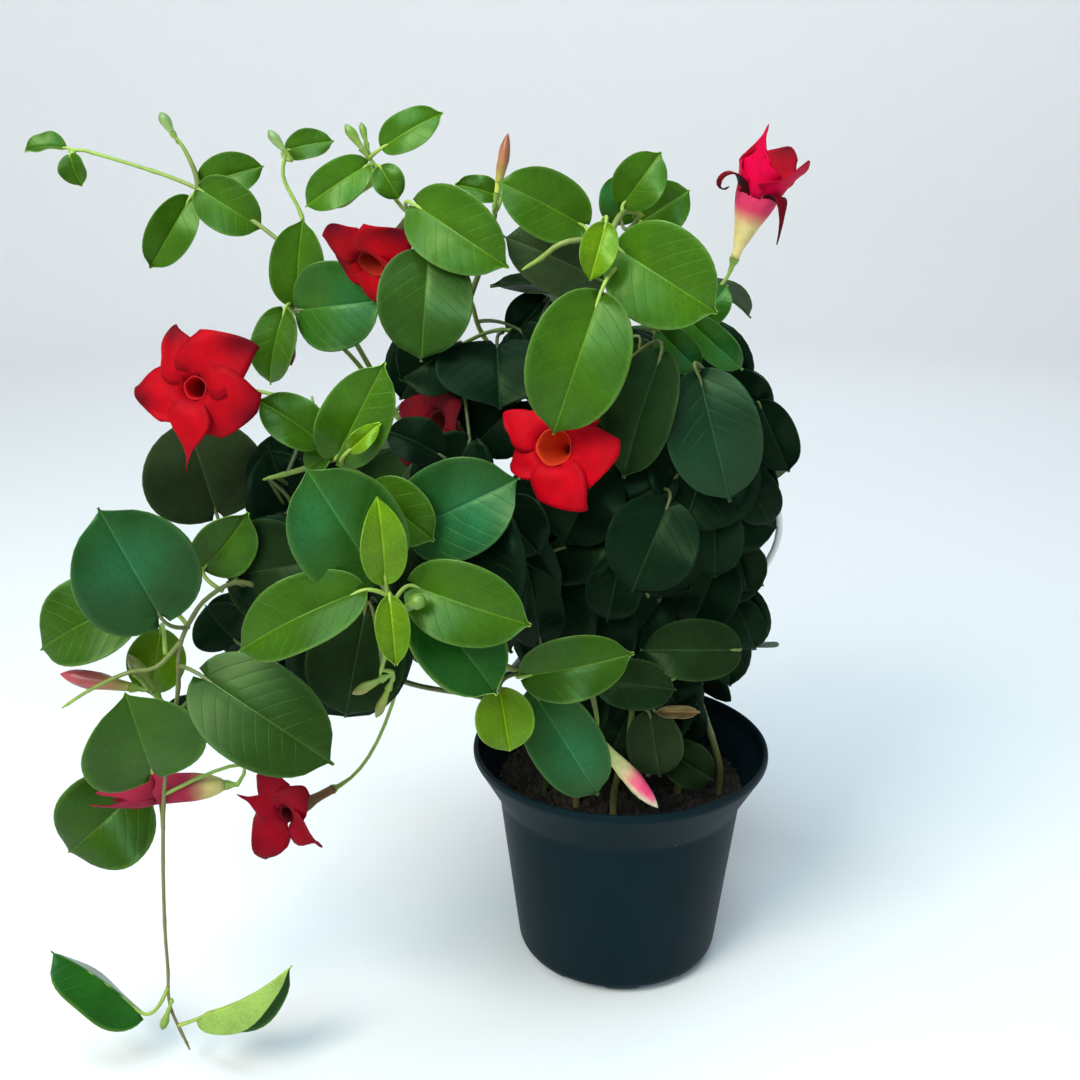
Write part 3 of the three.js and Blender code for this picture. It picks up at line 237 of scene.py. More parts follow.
                  [(400, 420, 48), (330, 300, 56), (300, 260, 62), (245, 215, 68), (200, 190, 74), (170, 177, 80),
                   (140, 167, 85), (100, 155, 89), (80, 150, 91), (68, 152, 92)],
                  [(200, 190, 74), (195, 172, 74), (183, 147, 75), (172, 133, 75)]],
        "leaves": [
            (300, 310, 385, 300, 85, 24, 0.2, 0, 8, 0.1, "mid"),
            (297, 302, 303, 218, 48, 26, 0.1, 20, 12, 0.08, "bright"),
            (284, 312, 270, 385, 42, 26, 0, 20, 15, 0.12, "bright"),
            (288, 150, 334, 141, 24, 50, 0, 30, 20, 0.08, "bright"),
            (188, 201, 150, 268, 42, 68, 0, 0, 20, 0.12, "bright"),
            (201, 190, 263, 229, 50, 68, 0, 0, 12, 0.08, "bright"),
            (203, 184, 264, 166, 30, 78, 0, 40, 20, 0.08, "mid"),
            (70, 156, 82, 186, 24, 90, 0, 20, 25, 0.1, "bright"),
            (64, 148, 25, 152, 16, 95, 0, 50, 30, 0.1, "bright"),
        ],
        "buds": [
            ("bud_far_left", (172, 132, 75), (160, 112, 75), 3.2),
            ("bud_back_left", (284, 150, 50), (268, 130, 50), 2.8),
            ("bud_hanging_left", (287, 324, 32), (291, 366, 30), 3.4),
        ],
    },
}

# The vines at the back, by x, y and z of their stems.
backVines = {
    "vine_back_middle": {
        "crown": (4, 40),
        "route": [(4, 50, 150), (-4, 68, 200), (-20, 70, 250), (-26, 62, 300), (-14, 50, 345), (4, 40, 385)],
    },
    "vine_back_right": {
        "crown": (28, 26),
        "route": [(44, 40, 145), (62, 46, 190), (64, 44, 240), (50, 42, 290), (36, 34, 330), (40, 24, 370)],
    },
}

# Opposite pairs of leaves along a stretch of a vine's stem, with the seed of their draws.
pairRuns = [
    ("vine_core", 0.3, 0.95, 5), ("vine_right", 0.55, 0.95, 7), ("vine_top_centre", 0.3, 0.7, 3),
    ("vine_top", 0.35, 0.62, 17), ("vine_back_left", 0.3, 0.62, 23), ("vine_upper_left", 0.3, 0.6, 19),
    ("vine_back_middle", 0.2, 1, 11), ("vine_back_right", 0.2, 1, 29),
]
pairRule = {"spacing": 31, "stalk": 15, "length": 56, "width": 48, "spread": 1.3, "fall": 0.55, "farthest": 790,
            "roll": 24, "fold": 12, "arc": 0.1}

growth = {
    "gap": 0.3, "soilTop": 106, "holeDepth": 30, "rise": 16, "potRim": 85, "potHeight": 131,
    "stemFoot": 2.4, "stemTip": 1.1, "sideStem": 0.55, "stemStep": 20, "above": 10,
    "shiftStep": 3, "shiftCount": 22, "sample": 4, "near": 8, "plenty": 50,
}
stalkRule = {"roots": 5, "rootStep": 9, "straight": 24, "bent": 0.8, "lead": 0.45, "bends": (0, 0.25, 0.5, 0.8),
             "ways": 8}
leafForm = {"widest": 0.75, "fullness": 0.62, "taper": 0.5, "lobes": 0.07, "wave": 1.1, "waves": 9}
curveSteps = 200  # samples along each curve
upright = np.array([0, 0, 1])

# The room that a new leaf or stalk needs from each kind of thing, on other vines and on its own.
kinds = ["leaf", "flower", "stem", "rod", "stalk"]
leafNeed = {"other": np.array([6.5, 6.5, 4.8, 8, 4.8]), "own": np.array([3.2, 6.5, 0, 8, 0])}
stalkNeed = {"other": np.array([5.5, 5.5, 4.8, 4.8, 3.4]), "own": np.array([0, 5.5, 0, 0, 0])}


def linear(hexColour):  # sRGB hex to linear red, green, blue
    parts = [int(hexColour[i:i + 2], 16) / 255 for i in (1, 3, 5)]
    return np.array([c / 12.92 if c <= 0.04045 else ((c + 0.055) / 1.055) ** 2.4 for c in parts])


def unit(v):
    return v / np.linalg.norm(v)


def mix(a, b, share):
    return a + (b - a) * share


def eased(low, high, value):  # 0 below low, 1 above high, smooth between
    x = np.clip((value - low) / (high - low), 0, 1)
    return x * x * (3 - 2 * x)


def drawer(seed):  # the same seeded draws from 0 to 1 in every run
    state = [seed]

    def draw():
        state[0] = (state[0] + 0x6D2B79F5) & 0xFFFFFFFF
        t = state[0]
        t = ((t ^ (t >> 15)) * (t | 1)) & 0xFFFFFFFF
        t ^= (t + (((t ^ (t >> 7)) * (t | 61)) & 0xFFFFFFFF)) & 0xFFFFFFFF
        return ((t ^ (t >> 14)) & 0xFFFFFFFF) / 4294967296
    return draw


# Lines in space
def spot(u, v, depth):  # the point seen at u and v, at a depth
    down = (v - eye["middle"]) / eye["focal"]
    reach = (depth - eye["place"][1]) / (pitchCos - pitchSin * down)
    across = eye["place"][0] + reach * (u - eye["middle"]) / eye["focal"]
    return np.array([across, depth, eye["place"][2] - reach * (pitchCos * down + pitchSin)])


def seenFrom(points):  # u and v of points
    reach = (points[:, 1] - eye["place"][1]) * pitchCos + (eye["place"][2] - points[:, 2]) * pitchSin
    down = (eye["place"][2] - points[:, 2]) * pitchCos - (points[:, 1] - eye["place"][1]) * pitchSin
    return np.stack([points[:, 0] - eye["place"][0], down], axis=1) * (eye["focal"] / reach)[:, None] + eye["middle"]


def curvePoint(points, t):  # centripetal Catmull-Rom through the points
    last = len(points) - 1
    k = min(int(last * t), last - 1)
    w = last * t - k
    p1, p2 = points[k], points[k + 1]
    p0 = points[k - 1] if k > 0 else 2 * points[0] - points[1]
    p3 = points[k + 2] if k + 2 <= last else 2 * points[last] - points[last - 1]
    d0, d1, d2 = [np.dot(b - a, b - a) ** 0.25 for a, b in ((p0, p1), (p1, p2), (p2, p3))]
    m1 = ((p1 - p0) / d0 - (p2 - p0) / (d0 + d1) + (p2 - p1) / d1) * d1
    m2 = ((p2 - p1) / d1 - (p3 - p1) / (d1 + d2) + (p3 - p2) / d2) * d1
    return p1 + m1 * w + (3 * (p2 - p1) - 2 * m1 - m2) * w ** 2 + (2 * (p1 - p2) + m1 + m2) * w ** 3


def measured(points):  # the curve with its lengths
    samples = np.array([curvePoint(points, i / curveSteps) for i in range(curveSteps + 1)])
    steps = np.linalg.norm(np.diff(samples, axis=0), axis=1)
    return {"points": points, "lengths": np.concatenate([[0], np.cumsum(steps)])}


def atShare(curve, share):  # the point at a share of the curve's length
    target = share * curve["lengths"][-1]
    i = int(np.searchsorted(curve["lengths"], target, side="right")) - 1
    if i >= curveSteps:
        return curvePoint(curve["points"], 1)
    rest = (target - curve["lengths"][i]) / (curve["lengths"][i + 1] - curve["lengths"][i])
    return curvePoint(curve["points"], (i + rest) / curveSteps)


def evenly(curve, step):  # points along the curve, about a step apart
    count = max(2, math.floor(curve["lengths"][-1] / step + 0.5))
    return np.array([atShare(curve, i / count) for i in range(count + 1)])


def pointsAlong(path):
    points = [path[0]]
    for a, b in zip(path[:-1], path[1:]):
        count = max(1, math.floor(np.linalg.norm(b - a) / growth["sample"] + 0.5))
        points += [a + (b - a) * i / count for i in range(1, count + 1)]
    return np.array(points)


# Leaves as formulas: s runs from the base to the tip, t from one edge to the other
def outline(s):
    return np.sin(np.pi * s ** leafForm["widest"]).clip(0) ** leafForm["fullness"] * (1 - leafForm["taper"] * s ** 10)


def makeLeaf(base, tip, width, facing, roll, fold, arc, phase, tone):
    length = np.linalg.norm(tip - base)
    along = (tip - base) / length
    up = unit(facing - along * np.dot(facing, along))
    turn = math.radians(roll)
    up = up * math.cos(turn) + np.cross(along, up) * math.sin(turn)
    return {"base": base, "along": along, "up": up, "side": np.cross(along, up), "length": length,
            "width": width, "fold": math.radians(fold), "arc": arc, "phase": phase, "tone": tone}


def leafPoints(leaf, s, t, shape=outline):
    s, t = np.broadcast_arrays(np.asarray(s, float), np.asarray(t, float))
    half = leaf["width"] / 2 * shape(s)
    reach = leaf["length"] * (s - leafForm["lobes"] * t ** 2 * (1 - s) ** 4)
    lift = (leaf["length"] * leaf["arc"] * 4 * s * (1 - s) + np.abs(t) * half * math.sin(leaf["fold"])
            + leafForm["wave"] * np.sin(leafForm["waves"] * s + leaf["phase"]) * t ** 2)
    across = t * half * math.cos(leaf["fold"])
    return (leaf["base"] + reach[..., None] * leaf["along"] + across[..., None] * leaf["side"]
            + lift[..., None] * leaf["up"])


def leafSamples(leaf):
    s, t = np.meshgrid([0.12, 0.27, 0.42, 0.57, 0.72, 0.87], [-0.9, -0.45, 0, 0.45, 0.9], indexing="ij")
    return leafPoints(leaf, s.ravel(), t.ravel())


def rowLeaf(row, back, phase):
    u0, v0, u1, v1, seen, depth, lean, roll, fold, arc, tone = row
    turned = abs(math.cos(math.radians(roll))) * math.cos(math.radians(fold))
    width = seen * (depth - eye["place"][1]) / eye["focal"] / max(0.5, turned)
    base = spot(u0, v0, depth + back)
    tip = spot(u1, v1, depth + back - lean * width)
    return makeLeaf(base, tip, width, unit(eye["place"] - base), roll, fold, arc, phase, tone)


# Keeping things clear of each other
crowd = {"owner": [], "kind": [], "middle": [], "reach": [], "points": []}


def keep(owner, kind, points):
    middle = points.mean(axis=0)
    crowd["owner"].append(owner)
    crowd["kind"].append(kinds.index(kind))
    crowd["middle"].append(middle)
    crowd["reach"].append(np.linalg.norm(points - middle, axis=1).max())
    crowd["points"].append(points)


def room(owner, points, needs):  # how far the points stay outside what each placed thing needs
    middle = points.mean(axis=0)
    reach = np.linalg.norm(points - middle, axis=1).max()
    kind = np.array(crowd["kind"])
    own = np.array([name == owner for name in crowd["owner"]])
    need = np.where(own, needs["own"][kind], needs["other"][kind])
    apart = np.linalg.norm(np.array(crowd["middle"]) - middle, axis=1) - reach - np.array(crowd["reach"])
    least = growth["plenty"]
    for i in np.nonzero((need > 0) & (apart < need + growth["near"]))[0]:
        gaps = np.linalg.norm(points[:, None] - crowd["points"][i][None], axis=2)
        least = min(least, gaps.min() - need[i])
    return least


def rootsFor(vine, end):  # places on the vine's stems for a stalk to start from, the nearest first
    roots = []
    for i in np.argsort(np.linalg.norm(vine["spine"] - end, axis=1), kind="stable"):
        p = vine["spine"][i]
        if len(roots) < stalkRule["roots"] and all(np.linalg.norm(q - p) >= stalkRule["rootStep"] for q in roots):
            roots.append(p)
    return roots


def bezier(ends, t):
    a, b, c = ends
    t = np.asarray(t, float)[:, None]
    return (1 - t) ** 2 * a + 2 * (1 - t) * t * b + t ** 2 * c


def stalkTo(vine, end, heading):  # the first bend that is clear of other vines, or the best
    turn = unit(upright - heading * heading[2])
    across = np.cross(heading, turn)
    best = None
    for root in rootsFor(vine, end):
        span = np.linalg.norm(end - root)
        bent = np.dot(end - root, heading) < stalkRule["bent"] * span
        steps = [0, 0.5, 1] if span > stalkRule["straight"] or bent else [0, 1]
        for bend in stalkRule["bends"]:
            for k in range(stalkRule["ways"] if bend else 1):
                angle = 2 * math.pi * k / stalkRule["ways"]
                control = (end - stalkRule["lead"] * span * heading + bend * span * math.cos(angle) * turn
                           + bend * span * math.sin(angle) * across)
                path = pointsAlong(bezier((root, control, end), steps))
                space = room(vine["name"], path, stalkNeed)
                if best is None or space > best["space"]:
                    best = {"ends": (root, control, end), "path": path, "space": space}
                if space > 0:
                    return best
    return best


# Flowers and buds as formulas
bloom = {"tube": 36, "throat": 7, "petals": 5, "cup": 6, "cupRoot": 1.3, "cupMouth": 2.7}


def turnedBy(angle, out, aside, high):  # points out from an axis, aside and up, turned about it
    return np.stack([out * math.cos(angle) - aside * math.sin(angle),
                     out * math.sin(angle) + aside * math.cos(angle), high], axis=-1)


def petalPoints(radius, opening, turn, q, t, half):
    spread = opening * 1.6
    span = radius - bloom["throat"]
    wide = t * half * span * (0.5 + 0.5 * opening) + 0.2 * span * q ** 2
    out = bloom["throat"] + span * q * math.sin(spread)
    high = bloom["tube"] + span * q * math.cos(spread) - 0.16 * span * q ** 2 * opening + 2.2 * t * q
    return turnedBy(2 * math.pi * turn / bloom["petals"], out, wide, high)


def flowerSamples(radius, opening):
    points = [np.array([0, 0, share * bloom["tube"]]) for share in (0.1, 0.4, 0.7, 0.95)]
    for turn in range(bloom["petals"]):
        for q, half in ((0.35, 0.44), (0.65, 0.55), (0.95, 0.3)):
            points += [petalPoints(radius, opening, turn, q, t, half) for t in (-0.8, 0, 0.8)]
    return np.array(points)


def standAt(base, axis, spin):  # a matrix that puts a flower's +Z on its axis, at its base
    turn = Quaternion((1 + axis[2], -axis[1], axis[0], 0)).normalized()
    return Matrix.Translation(Vector(base)) @ turn.to_matrix().to_4x4() @ Matrix.Rotation(math.radians(spin), 4, "Z")


def placedBy(matrix, points):
    m = np.array(matrix)
    return points @ m[:3, :3].T + m[:3, 3]


# Growing the plant
hoop = {
    "depth": 4, "radius": 1.9, "legDepth": 60, "sides": 14, "step": 24, "fineStep": 6,
    "bends": [(650, 735), (634, 672), (600, 620), (530, 552), (466, 484), (436, 440), (440, 417), (466, 402),
              (530, 388), (600, 394), (672, 422), (736, 460), (766, 488), (778, 512), (777, 542), (750, 590),
              (716, 640), (698, 690), (692, 735)],
}
bends = [spot(u, v, hoop["depth"]) for u, v in hoop["bends"]]
low, high = growth["soilTop"] - hoop["legDepth"], growth["soilTop"] + 8
hoopCurve = measured(np.array([
    [*bends[0][:2], low], [*bends[0][:2], high], *bends, [*bends[-1][:2], high], [*bends[-1][:2], low]]))
keep("hoop", "rod", pointsAlong(evenly(hoopCurve, hoop["step"])))
ring = [np.array([growth["potRim"] * math.cos(math.radians(d)), growth["potRim"] * math.sin(math.radians(d)), z])
        for d in range(0, 360, 4) for z in (growth["potHeight"], growth["potHeight"] - 8)]
keep("pot", "rod", np.array(ring))

grown = {}


def startVine(name, crown, routes, slot):
    vine = {"name": name, "slot": slot, "stems": [], "leaves": [], "inner": [], "ends": [], "spine": np.zeros((0, 3))}
    for k, route in enumerate(routes):
        foot = [np.array([*crown, growth["soilTop"] + z])
                for z in (-growth["holeDepth"], -growth["holeDepth"] / 2, 0, growth["rise"])]
        start = foot + list(route) if k == 0 else [rootsFor(vine, route[0])[0]] + list(route[1:])
        curve = measured(np.array(start))
        thick = growth["stemFoot"] if k == 0 else growth["sideStem"] * (growth["stemFoot"] + growth["stemTip"])
        vine["stems"].append({"curve": curve, "thick": thick, "first": k == 0})
        fine = pointsAlong(evenly(curve, growth["stemStep"]))
        outside = np.hypot(fine[:, 0], fine[:, 1]) > growth["potRim"]
        free = outside | (fine[:, 2] > growth["soilTop"] + growth["above"])
        vine["spine"] = np.concatenate([vine["spine"], fine[free][:-1]])
        keep(name, "stem", fine)
    grown[name] = vine


for name, plan in vines.items():
    startVine(name, plan["crown"], [[spot(*place) for place in route] for route in plan["stems"]], plan["slot"])
for name, plan in backVines.items():
    startVine(name, plan["crown"], [np.array(plan["route"], float)], "leaf_shaded")


def addEnd(name, points, spin, **end):  # a flower or a bud on its vine, with the points that stand for it
    end["place"] = standAt(end["base"], end["axis"], spin)
    keep(name, "flower", placedBy(end["place"], points))
    grown[name]["ends"].append(end)


for name, plan in vines.items():
    for title, throat, tail, radius, spin, opening in plan.get("flowers", []):
        axis = unit(spot(*throat) - spot(*tail))
        addEnd(name, flowerSamples(radius, opening), spin, title=title, kind="flower", radius=radius, opening=opening,
               axis=axis, base=spot(*throat) - bloom["tube"] * axis, mouth=bloom["cupMouth"])
    for title, start, tip, radius in plan.get("buds", []):
        base = spot(*start)
        length = np.linalg.norm(spot(*tip) - base)
        points = np.array([[0, 0, k * length] for k in (0.1, 0.4, 0.7, 1)])
        addEnd(name, points, 0, title=title, kind="bud", radius=radius, length=length,
               axis=(spot(*tip) - base) / length, base=base, mouth=0.6 * radius)


def backedOff(name, row, phase, needs):  # a row's leaf, moved back along the line of sight until it is clear
    best = None
    for k in range(growth["shiftCount"]):
        leaf = rowLeaf(row, k * growth["shiftStep"], phase)
        samples = leafSamples(leaf)
        space = room(name, samples, needs)
        if best is None or space > best[1]:
            best = (leaf, space, samples)
        if space > 0:
            break
    keep(name, "leaf", best[2])
    return best[0]


rows = [(name, row) for name, plan in vines.items() for row in plan["leaves"]]
rows.sort(key=lambda entry: entry[1][5])  # from front to back
for index, (name, row) in enumerate(rows):
    grown[name]["leaves"].append(backedOff(name, row, 1.7 * index, leafNeed))


def giveStalk(vine, owner, end, heading):
    owner["stalk"] = stalkTo(vine, end, heading)
    keep(vine["name"], "stalk", owner["stalk"]["path"])


for vine in grown.values():
    for leaf in vine["leaves"]:
        giveStalk(vine, leaf, leaf["base"], leaf["along"])
    for end in vine["ends"]:
        giveStalk(vine, end, end["base"] - (growth["gap"] + bloom["cup"]) * end["axis"], end["axis"])

for name, start, stop, seed in pairRuns:
    draw = drawer(seed)
    vine = grown[name]
    curve = vine["stems"][0]["curve"]
    count = int(curve["lengths"][-1] * (stop - start) / pairRule["spacing"])
    for k in range(count + 1):
        point = atShare(curve, min(1, start + (stop - start) * k / count))
        heading = k * math.pi / 2 + (draw() - 0.5) * pairRule["spread"]
        for side in (0, math.pi):
            out = np.array([math.cos(heading + side), math.sin(heading + side), 0])
            size = 0.82 + 0.36 * draw()
            fall = pairRule["fall"] * (0.6 + 0.9 * draw())
            base = point + pairRule["stalk"] * out + np.array([0, 0, 5])
            tip = base + pairRule["length"] * size * (math.cos(fall) * out - math.sin(fall) * upright)
            roll = pairRule["roll"] * (draw() - 0.5)
            # pair leaves take the deep tone: a near-black tint, painted shade inside the bush
            leaf = makeLeaf(base, tip, pairRule["width"] * size, upright + 0.4 * out, roll, pairRule["fold"],
                            pairRule["arc"], 6 * draw(), "deep")
            samples = leafSamples(leaf)
            if (seenFrom(samples)[:, 0] < pairRule["farthest"]).all() and room(name, samples, leafNeed) > 0:
                leaf["stalk"] = stalkTo(vine, base, leaf["along"])
                if leaf["stalk"]["space"] > 0:
                    keep(name, "leaf", samples)
                    keep(name, "stalk", leaf["stalk"]["path"])
                    vine["leaves"].append(leaf)
print("plant laid out:", sum(len(vine["leaves"]) for vine in grown.values()), "leaves")

# Leaves deep in the bush, behind the ones that show, with a near-black tint that is painted shade. Most stand in
# opposite pairs along the stems, inside
# ovals of the view: u, v and the two radii. The placed ones: vine, u, v of the base and the tip, width, depth, arc.
inner = {
    "seed": 61, "spacing": 17, "stalk": 13, "length": 60, "width": 54, "fold": 12, "arc": 0.1, "turn": 1.4,
    "lowest": 122, "overPot": 3, "inPot": 66, "middle": (25, -20), "beside": 14,
    "ovals": [(650, 480, 126, 170), (420, 560, 140, 112), (560, 300, 130, 90), (645, 680, 96, 70)],
    "need": dict.fromkeys(("other", "own"), np.array([1.5, 6, 0, 3, 0])),
    "placed": [
        ("vine_hanging", 318, 566, 226, 576, 98, -100, 0.08), ("vine_front", 372, 598, 324, 716, 112, -104, 0.07),
        ("vine_hanging", 290, 652, 222, 658, 42, -96, 0.08), ("vine_upper_left", 306, 550, 268, 446, 74, -84, 0.08),
        ("vine_upper_left", 330, 520, 300, 430, 70, -66, 0.08), ("vine_right", 706, 508, 778, 528, 62, -42, 0.08),
        ("vine_right", 716, 560, 764, 586, 56, -38, 0.08), ("vine_right", 738, 590, 754, 650, 44, -34, 0.08),
        ("vine_right", 736, 412, 786, 470, 56, -26, 0.08), ("vine_core", 604, 590, 584, 690, 76, -50, 0.08),
        ("vine_core", 560, 580, 546, 680, 74, -62, 0.08), ("vine_core", 530, 560, 500, 640, 70, -70, 0.08),
        ("vine_low_front", 640, 690, 606, 762, 60, -44, 0.08), ("vine_low_front", 590, 680, 556, 752, 60, -56, 0.08),
        ("vine_right", 704, 600, 664, 690, 72, -34, 0.08), ("vine_right", 724, 610, 730, 686, 44, -22, 0.08),
        ("vine_top_centre", 660, 560, 700, 640, 74, -30, 0.08), ("vine_top_centre", 640, 640, 690, 730, 64, -30, 0.08),
        ("vine_top_centre", 600, 640, 610, 740, 64, -30, 0.08), ("vine_core", 470, 440, 430, 520, 70, -60, 0.08),
        ("vine_core", 520, 400, 470, 450, 64, -44, 0.08), ("vine_top", 440, 330, 400, 400, 60, -16, 0.08),
        ("vine_top", 520, 330, 560, 400, 64, -30, 0.08), ("vine_top_centre", 700, 330, 740, 400, 56, -20, 0.08),
    ],
}
shown = [leafSamples(leaf) for vine in grown.values() for leaf in vine["leaves"] if leaf["tone"] != "deep"]
shown += [placedBy(end["place"], flowerSamples(end["radius"], end["opening"]))
          for vine in grown.values() for end in vine["ends"] if end["kind"] == "flower"]
shown = np.concatenate(shown)
shownSeen = seenFrom(shown)


def hidesNothing(points, seen):  # true where no leaf or flower that shows lies behind the points
    apart = np.linalg.norm(seen[:, None] - shownSeen[None], axis=2)
    return not ((apart < inner["beside"]) & (points[:, 1][:, None] < shown[:, 1][None] - 1)).any()


def insideBush(points, seen):  # true in one of the ovals and clear of the pot
    ovals = [((seen[:, 0] - u) / ru) ** 2 + ((seen[:, 1] - v) / rv) ** 2 < 1 for u, v, ru, rv in inner["ovals"]]
    lowest, farthest = points[:, 2].min(), np.hypot(points[:, 0], points[:, 1]).max()
    return np.any(ovals, axis=0).all() and (lowest > growth["potHeight"] + inner["overPot"] or (
        farthest < inner["inPot"] and lowest > inner["lowest"] - 8))


def innerStalk(root, base, lift):  # a plain stalk that rises a little
    return {"ends": (root, root + 0.5 * (base - root) + lift * upright, base)}


for name, *row, arc in inner["placed"]:
    leaf = backedOff(name, (*row, 0, 0, 8, arc, "deep"), 1.3 * row[0], inner["need"])
    leaf["stalk"] = innerStalk(rootsFor(grown[name], leaf["base"])[0], leaf["base"], 4)
    grown[name]["inner"].append(leaf)
draw = drawer(inner["seed"])
for vine in grown.values():
    for stem in vine["stems"]:
        count = int(stem["curve"]["lengths"][-1] / inner["spacing"])
        for k in range(1, count):
            point = atShare(stem["curve"], k / count)
            away = np.array([point[0] - inner["middle"][0], point[1] - inner["middle"][1], 0])
            away = away / max(20, np.linalg.norm(away))
            heading = k * math.pi / 2 + draw() * inner["turn"]
            for side in (0, math.pi):
                size, fall, roll, phase = 0.75 + 0.5 * draw(), 0.4 + 0.9 * draw(), 40 * (draw() - 0.5), 6 * draw()
                out = np.array([math.cos(heading + side), math.sin(heading + side), 0])
                base = point + inner["stalk"] * unit(out + 0.4 * away + 0.3 * upright)
                tip = base + inner["length"] * size * unit(0.7 * out + 0.4 * away - fall * upright)
                facing = 0.8 * away + np.array([0, -0.6, 0.6]) + 0.2 * out
                leaf = makeLeaf(base, tip, inner["width"] * size, facing, roll, inner["fold"], inner["arc"], phase,
                                "deep")
                samples = leafSamples(leaf)
                seen = seenFrom(samples)
                if (insideBush(samples, seen) and point[2] > inner["lowest"] - 4 and hidesNothing(samples, seen)
                        and room(vine["name"], samples, inner["need"]) > 0):
                    keep(vine["name"], "leaf", samples)
                    leaf["stalk"] = innerStalk(point, base, 3)
                    vine["inner"].append(leaf)
print("deep leaves:", sum(len(vine["inner"]) for vine in grown.values()))


# Materials
def addNode(tree, kind, inputs=None, **settings):  # adds a node with its settings, values, colours and links
    node = tree.nodes.new(kind)
    for name, value in settings.items():
        setattr(node, name, value)
    for key, value in (inputs or {}).items():
        if isinstance(value, bpy.types.Node):
            value = value.outputs[0]
        if isinstance(value, bpy.types.NodeSocket):
            tree.links.new(value, node.inputs[key])
        elif isinstance(value, str) and value.startswith("#"):
            node.inputs[key].default_value = (*linear(value), 1)
        else:
            node.inputs[key].default_value = value
    return node


def startMaterial(name):
    material = bpy.data.materials.new(name)
    material.use_nodes = True
    material.node_tree.nodes.clear()
    return material, material.node_tree


def addSkin(tree, values, relief=()):  # the shader with values and links; relief: pattern, strength, depth in mm
    if relief:
        height, strength, depth = relief
        bump = addNode(tree, "ShaderNodeBump", {"Strength": strength, "Distance": depth * mm, "Height": height})
        values = {**values, "Normal": bump}
    shader = addNode(tree, "ShaderNodeBsdfPrincipled", values)
    addNode(tree, "ShaderNodeOutputMaterial", {"Surface": shader})


def specks(tree, size, detail, roughness=0.5):  # clouds of a size in millimetres, on the piece's own coordinates
    place = addNode(tree, "ShaderNodeTexCoord").outputs["Object"]
    return addNode(tree, "ShaderNodeTexNoise", {
        "Vector": place, "Scale": 1 / (size * mm), "Detail": detail, "Roughness": roughness})


def mottledTint(tree, *patterns):  # the colour in the points, times each pattern's range from low to high
    shade = 1.0
    for pattern, low, high in patterns:
        ranged = addNode(tree, "ShaderNodeMapRange", {0: pattern, 1: 0.3, 2: 0.7, 3: low, 4: high})
        shade = addNode(tree, "ShaderNodeMath", {0: shade, 1: ranged}, operation="MULTIPLY")
    tint = addNode(tree, "ShaderNodeAttribute", attribute_name="tint").outputs["Color"]
    return addNode(tree, "ShaderNodeVectorMath", {0: tint, "Scale": shade}, operation="SCALE")


# Living leaf: a waxy skin over soft green tissue, so a clear soft highlight; the veins lie in shallow
# grooves above and stand out below. The UV map holds millimetres across and along the blade, over mapSize.
# Real pores are far finer: they are drawn at 1 mm, so that the skin doesn't look like plastic.
veins = {"gap": 7.2, "rise": 0.6, "bow": 0.012, "width": 0.1, "midribEdge": 0.15, "midrib": 0.672, "depth": 0.4,
         "mapSize": 100.0, "sideShare": (0.25, 0.045), "midribShare": 0.75, "roughness": (0.55, 0.31),
         "cloudSize": 16.67, "poreSize": 1.111}


def leafMaterial(name, upper, gloss):  # pairs of values above: underside, upper face
    material, tree = startMaterial(name)
    place = addNode(tree, "ShaderNodeSeparateXYZ", {0: addNode(tree, "ShaderNodeUVMap", uv_map="blade")})
    spots, pores = specks(tree, veins["cloudSize"], 5.0), specks(tree, veins["poreSize"], 2.0)
    made = {"u": place.outputs[0], "v": place.outputs[1], "spots": spots}
    for title, operation, *terms in (
            ("centred", "SUBTRACT", "u", 0.5), ("signed", "MULTIPLY", "centred", veins["mapSize"]),
            ("across", "ABSOLUTE", "signed"), ("along", "MULTIPLY", "v", veins["mapSize"]),
            ("slope", "MULTIPLY_ADD", "across", veins["bow"], veins["rise"]), ("fall", "MULTIPLY", "across", "slope"),
            ("start", "SUBTRACT", "along", "fall"), ("phase", "MULTIPLY", "start", math.pi / veins["gap"]),
            ("swing", "SINE", "phase"), ("wave", "ABSOLUTE", "swing"),
            ("side", "SMOOTHSTEP", "wave", 0.0, veins["width"], 1.0, 0.0),
            ("midrib", "SMOOTHSTEP", "across", veins["midribEdge"], veins["midrib"], 1.0, 0.0),
            ("paleSide", "MULTIPLY", "side", veins["sideShare"][upper]),
            ("paleMidrib", "MULTIPLY", "midrib", veins["midribShare"]), ("share", "MAXIMUM", "paleSide", "paleMidrib"),
            ("lowSide", "MULTIPLY", "side", 0.5), ("lines", "MAXIMUM", "lowSide", "midrib"),
            ("quilt", "MULTIPLY_ADD", "wave", 0.25, "spots"),
            ("height", "SUBTRACT", *(("quilt", "lines") if upper else ("lines", "quilt")))):
        inputs = {i: made.get(term, term) for i, term in enumerate(terms)}
        if operation == "SMOOTHSTEP":
            made[title] = addNode(tree, "ShaderNodeMapRange", inputs, interpolation_type=operation)
        else:
            made[title] = addNode(tree, "ShaderNodeMath", inputs, operation=operation)
    mottled = mottledTint(tree, (spots, 0.82, 1.18), (pores, 0.86, 1.14))
    pale = addNode(tree, "ShaderNodeVectorMath", {0: mottled, 1: (2.2, 1.8, 2.2), 2: (0.008, 0.014, 0.004)},
                   operation="MULTIPLY_ADD")
    color = addNode(tree, "ShaderNodeMix", {0: made["share"], 6: mottled, 7: pale}, data_type="RGBA").outputs[2]
    values = {"Base Color": color, "Roughness": veins["roughness"][upper], "IOR": 1.45, "Specular IOR Level": gloss}
    if upper:  # the wax gives back the sky greener and a little less blue than it is
        values.update({"Specular Tint": "#B0E898", "Coat Weight": 0.15 * gloss, "Coat Roughness": 0.3})
    addSkin(tree, values, (made["height"], 0.4, veins["depth"]))
    return material


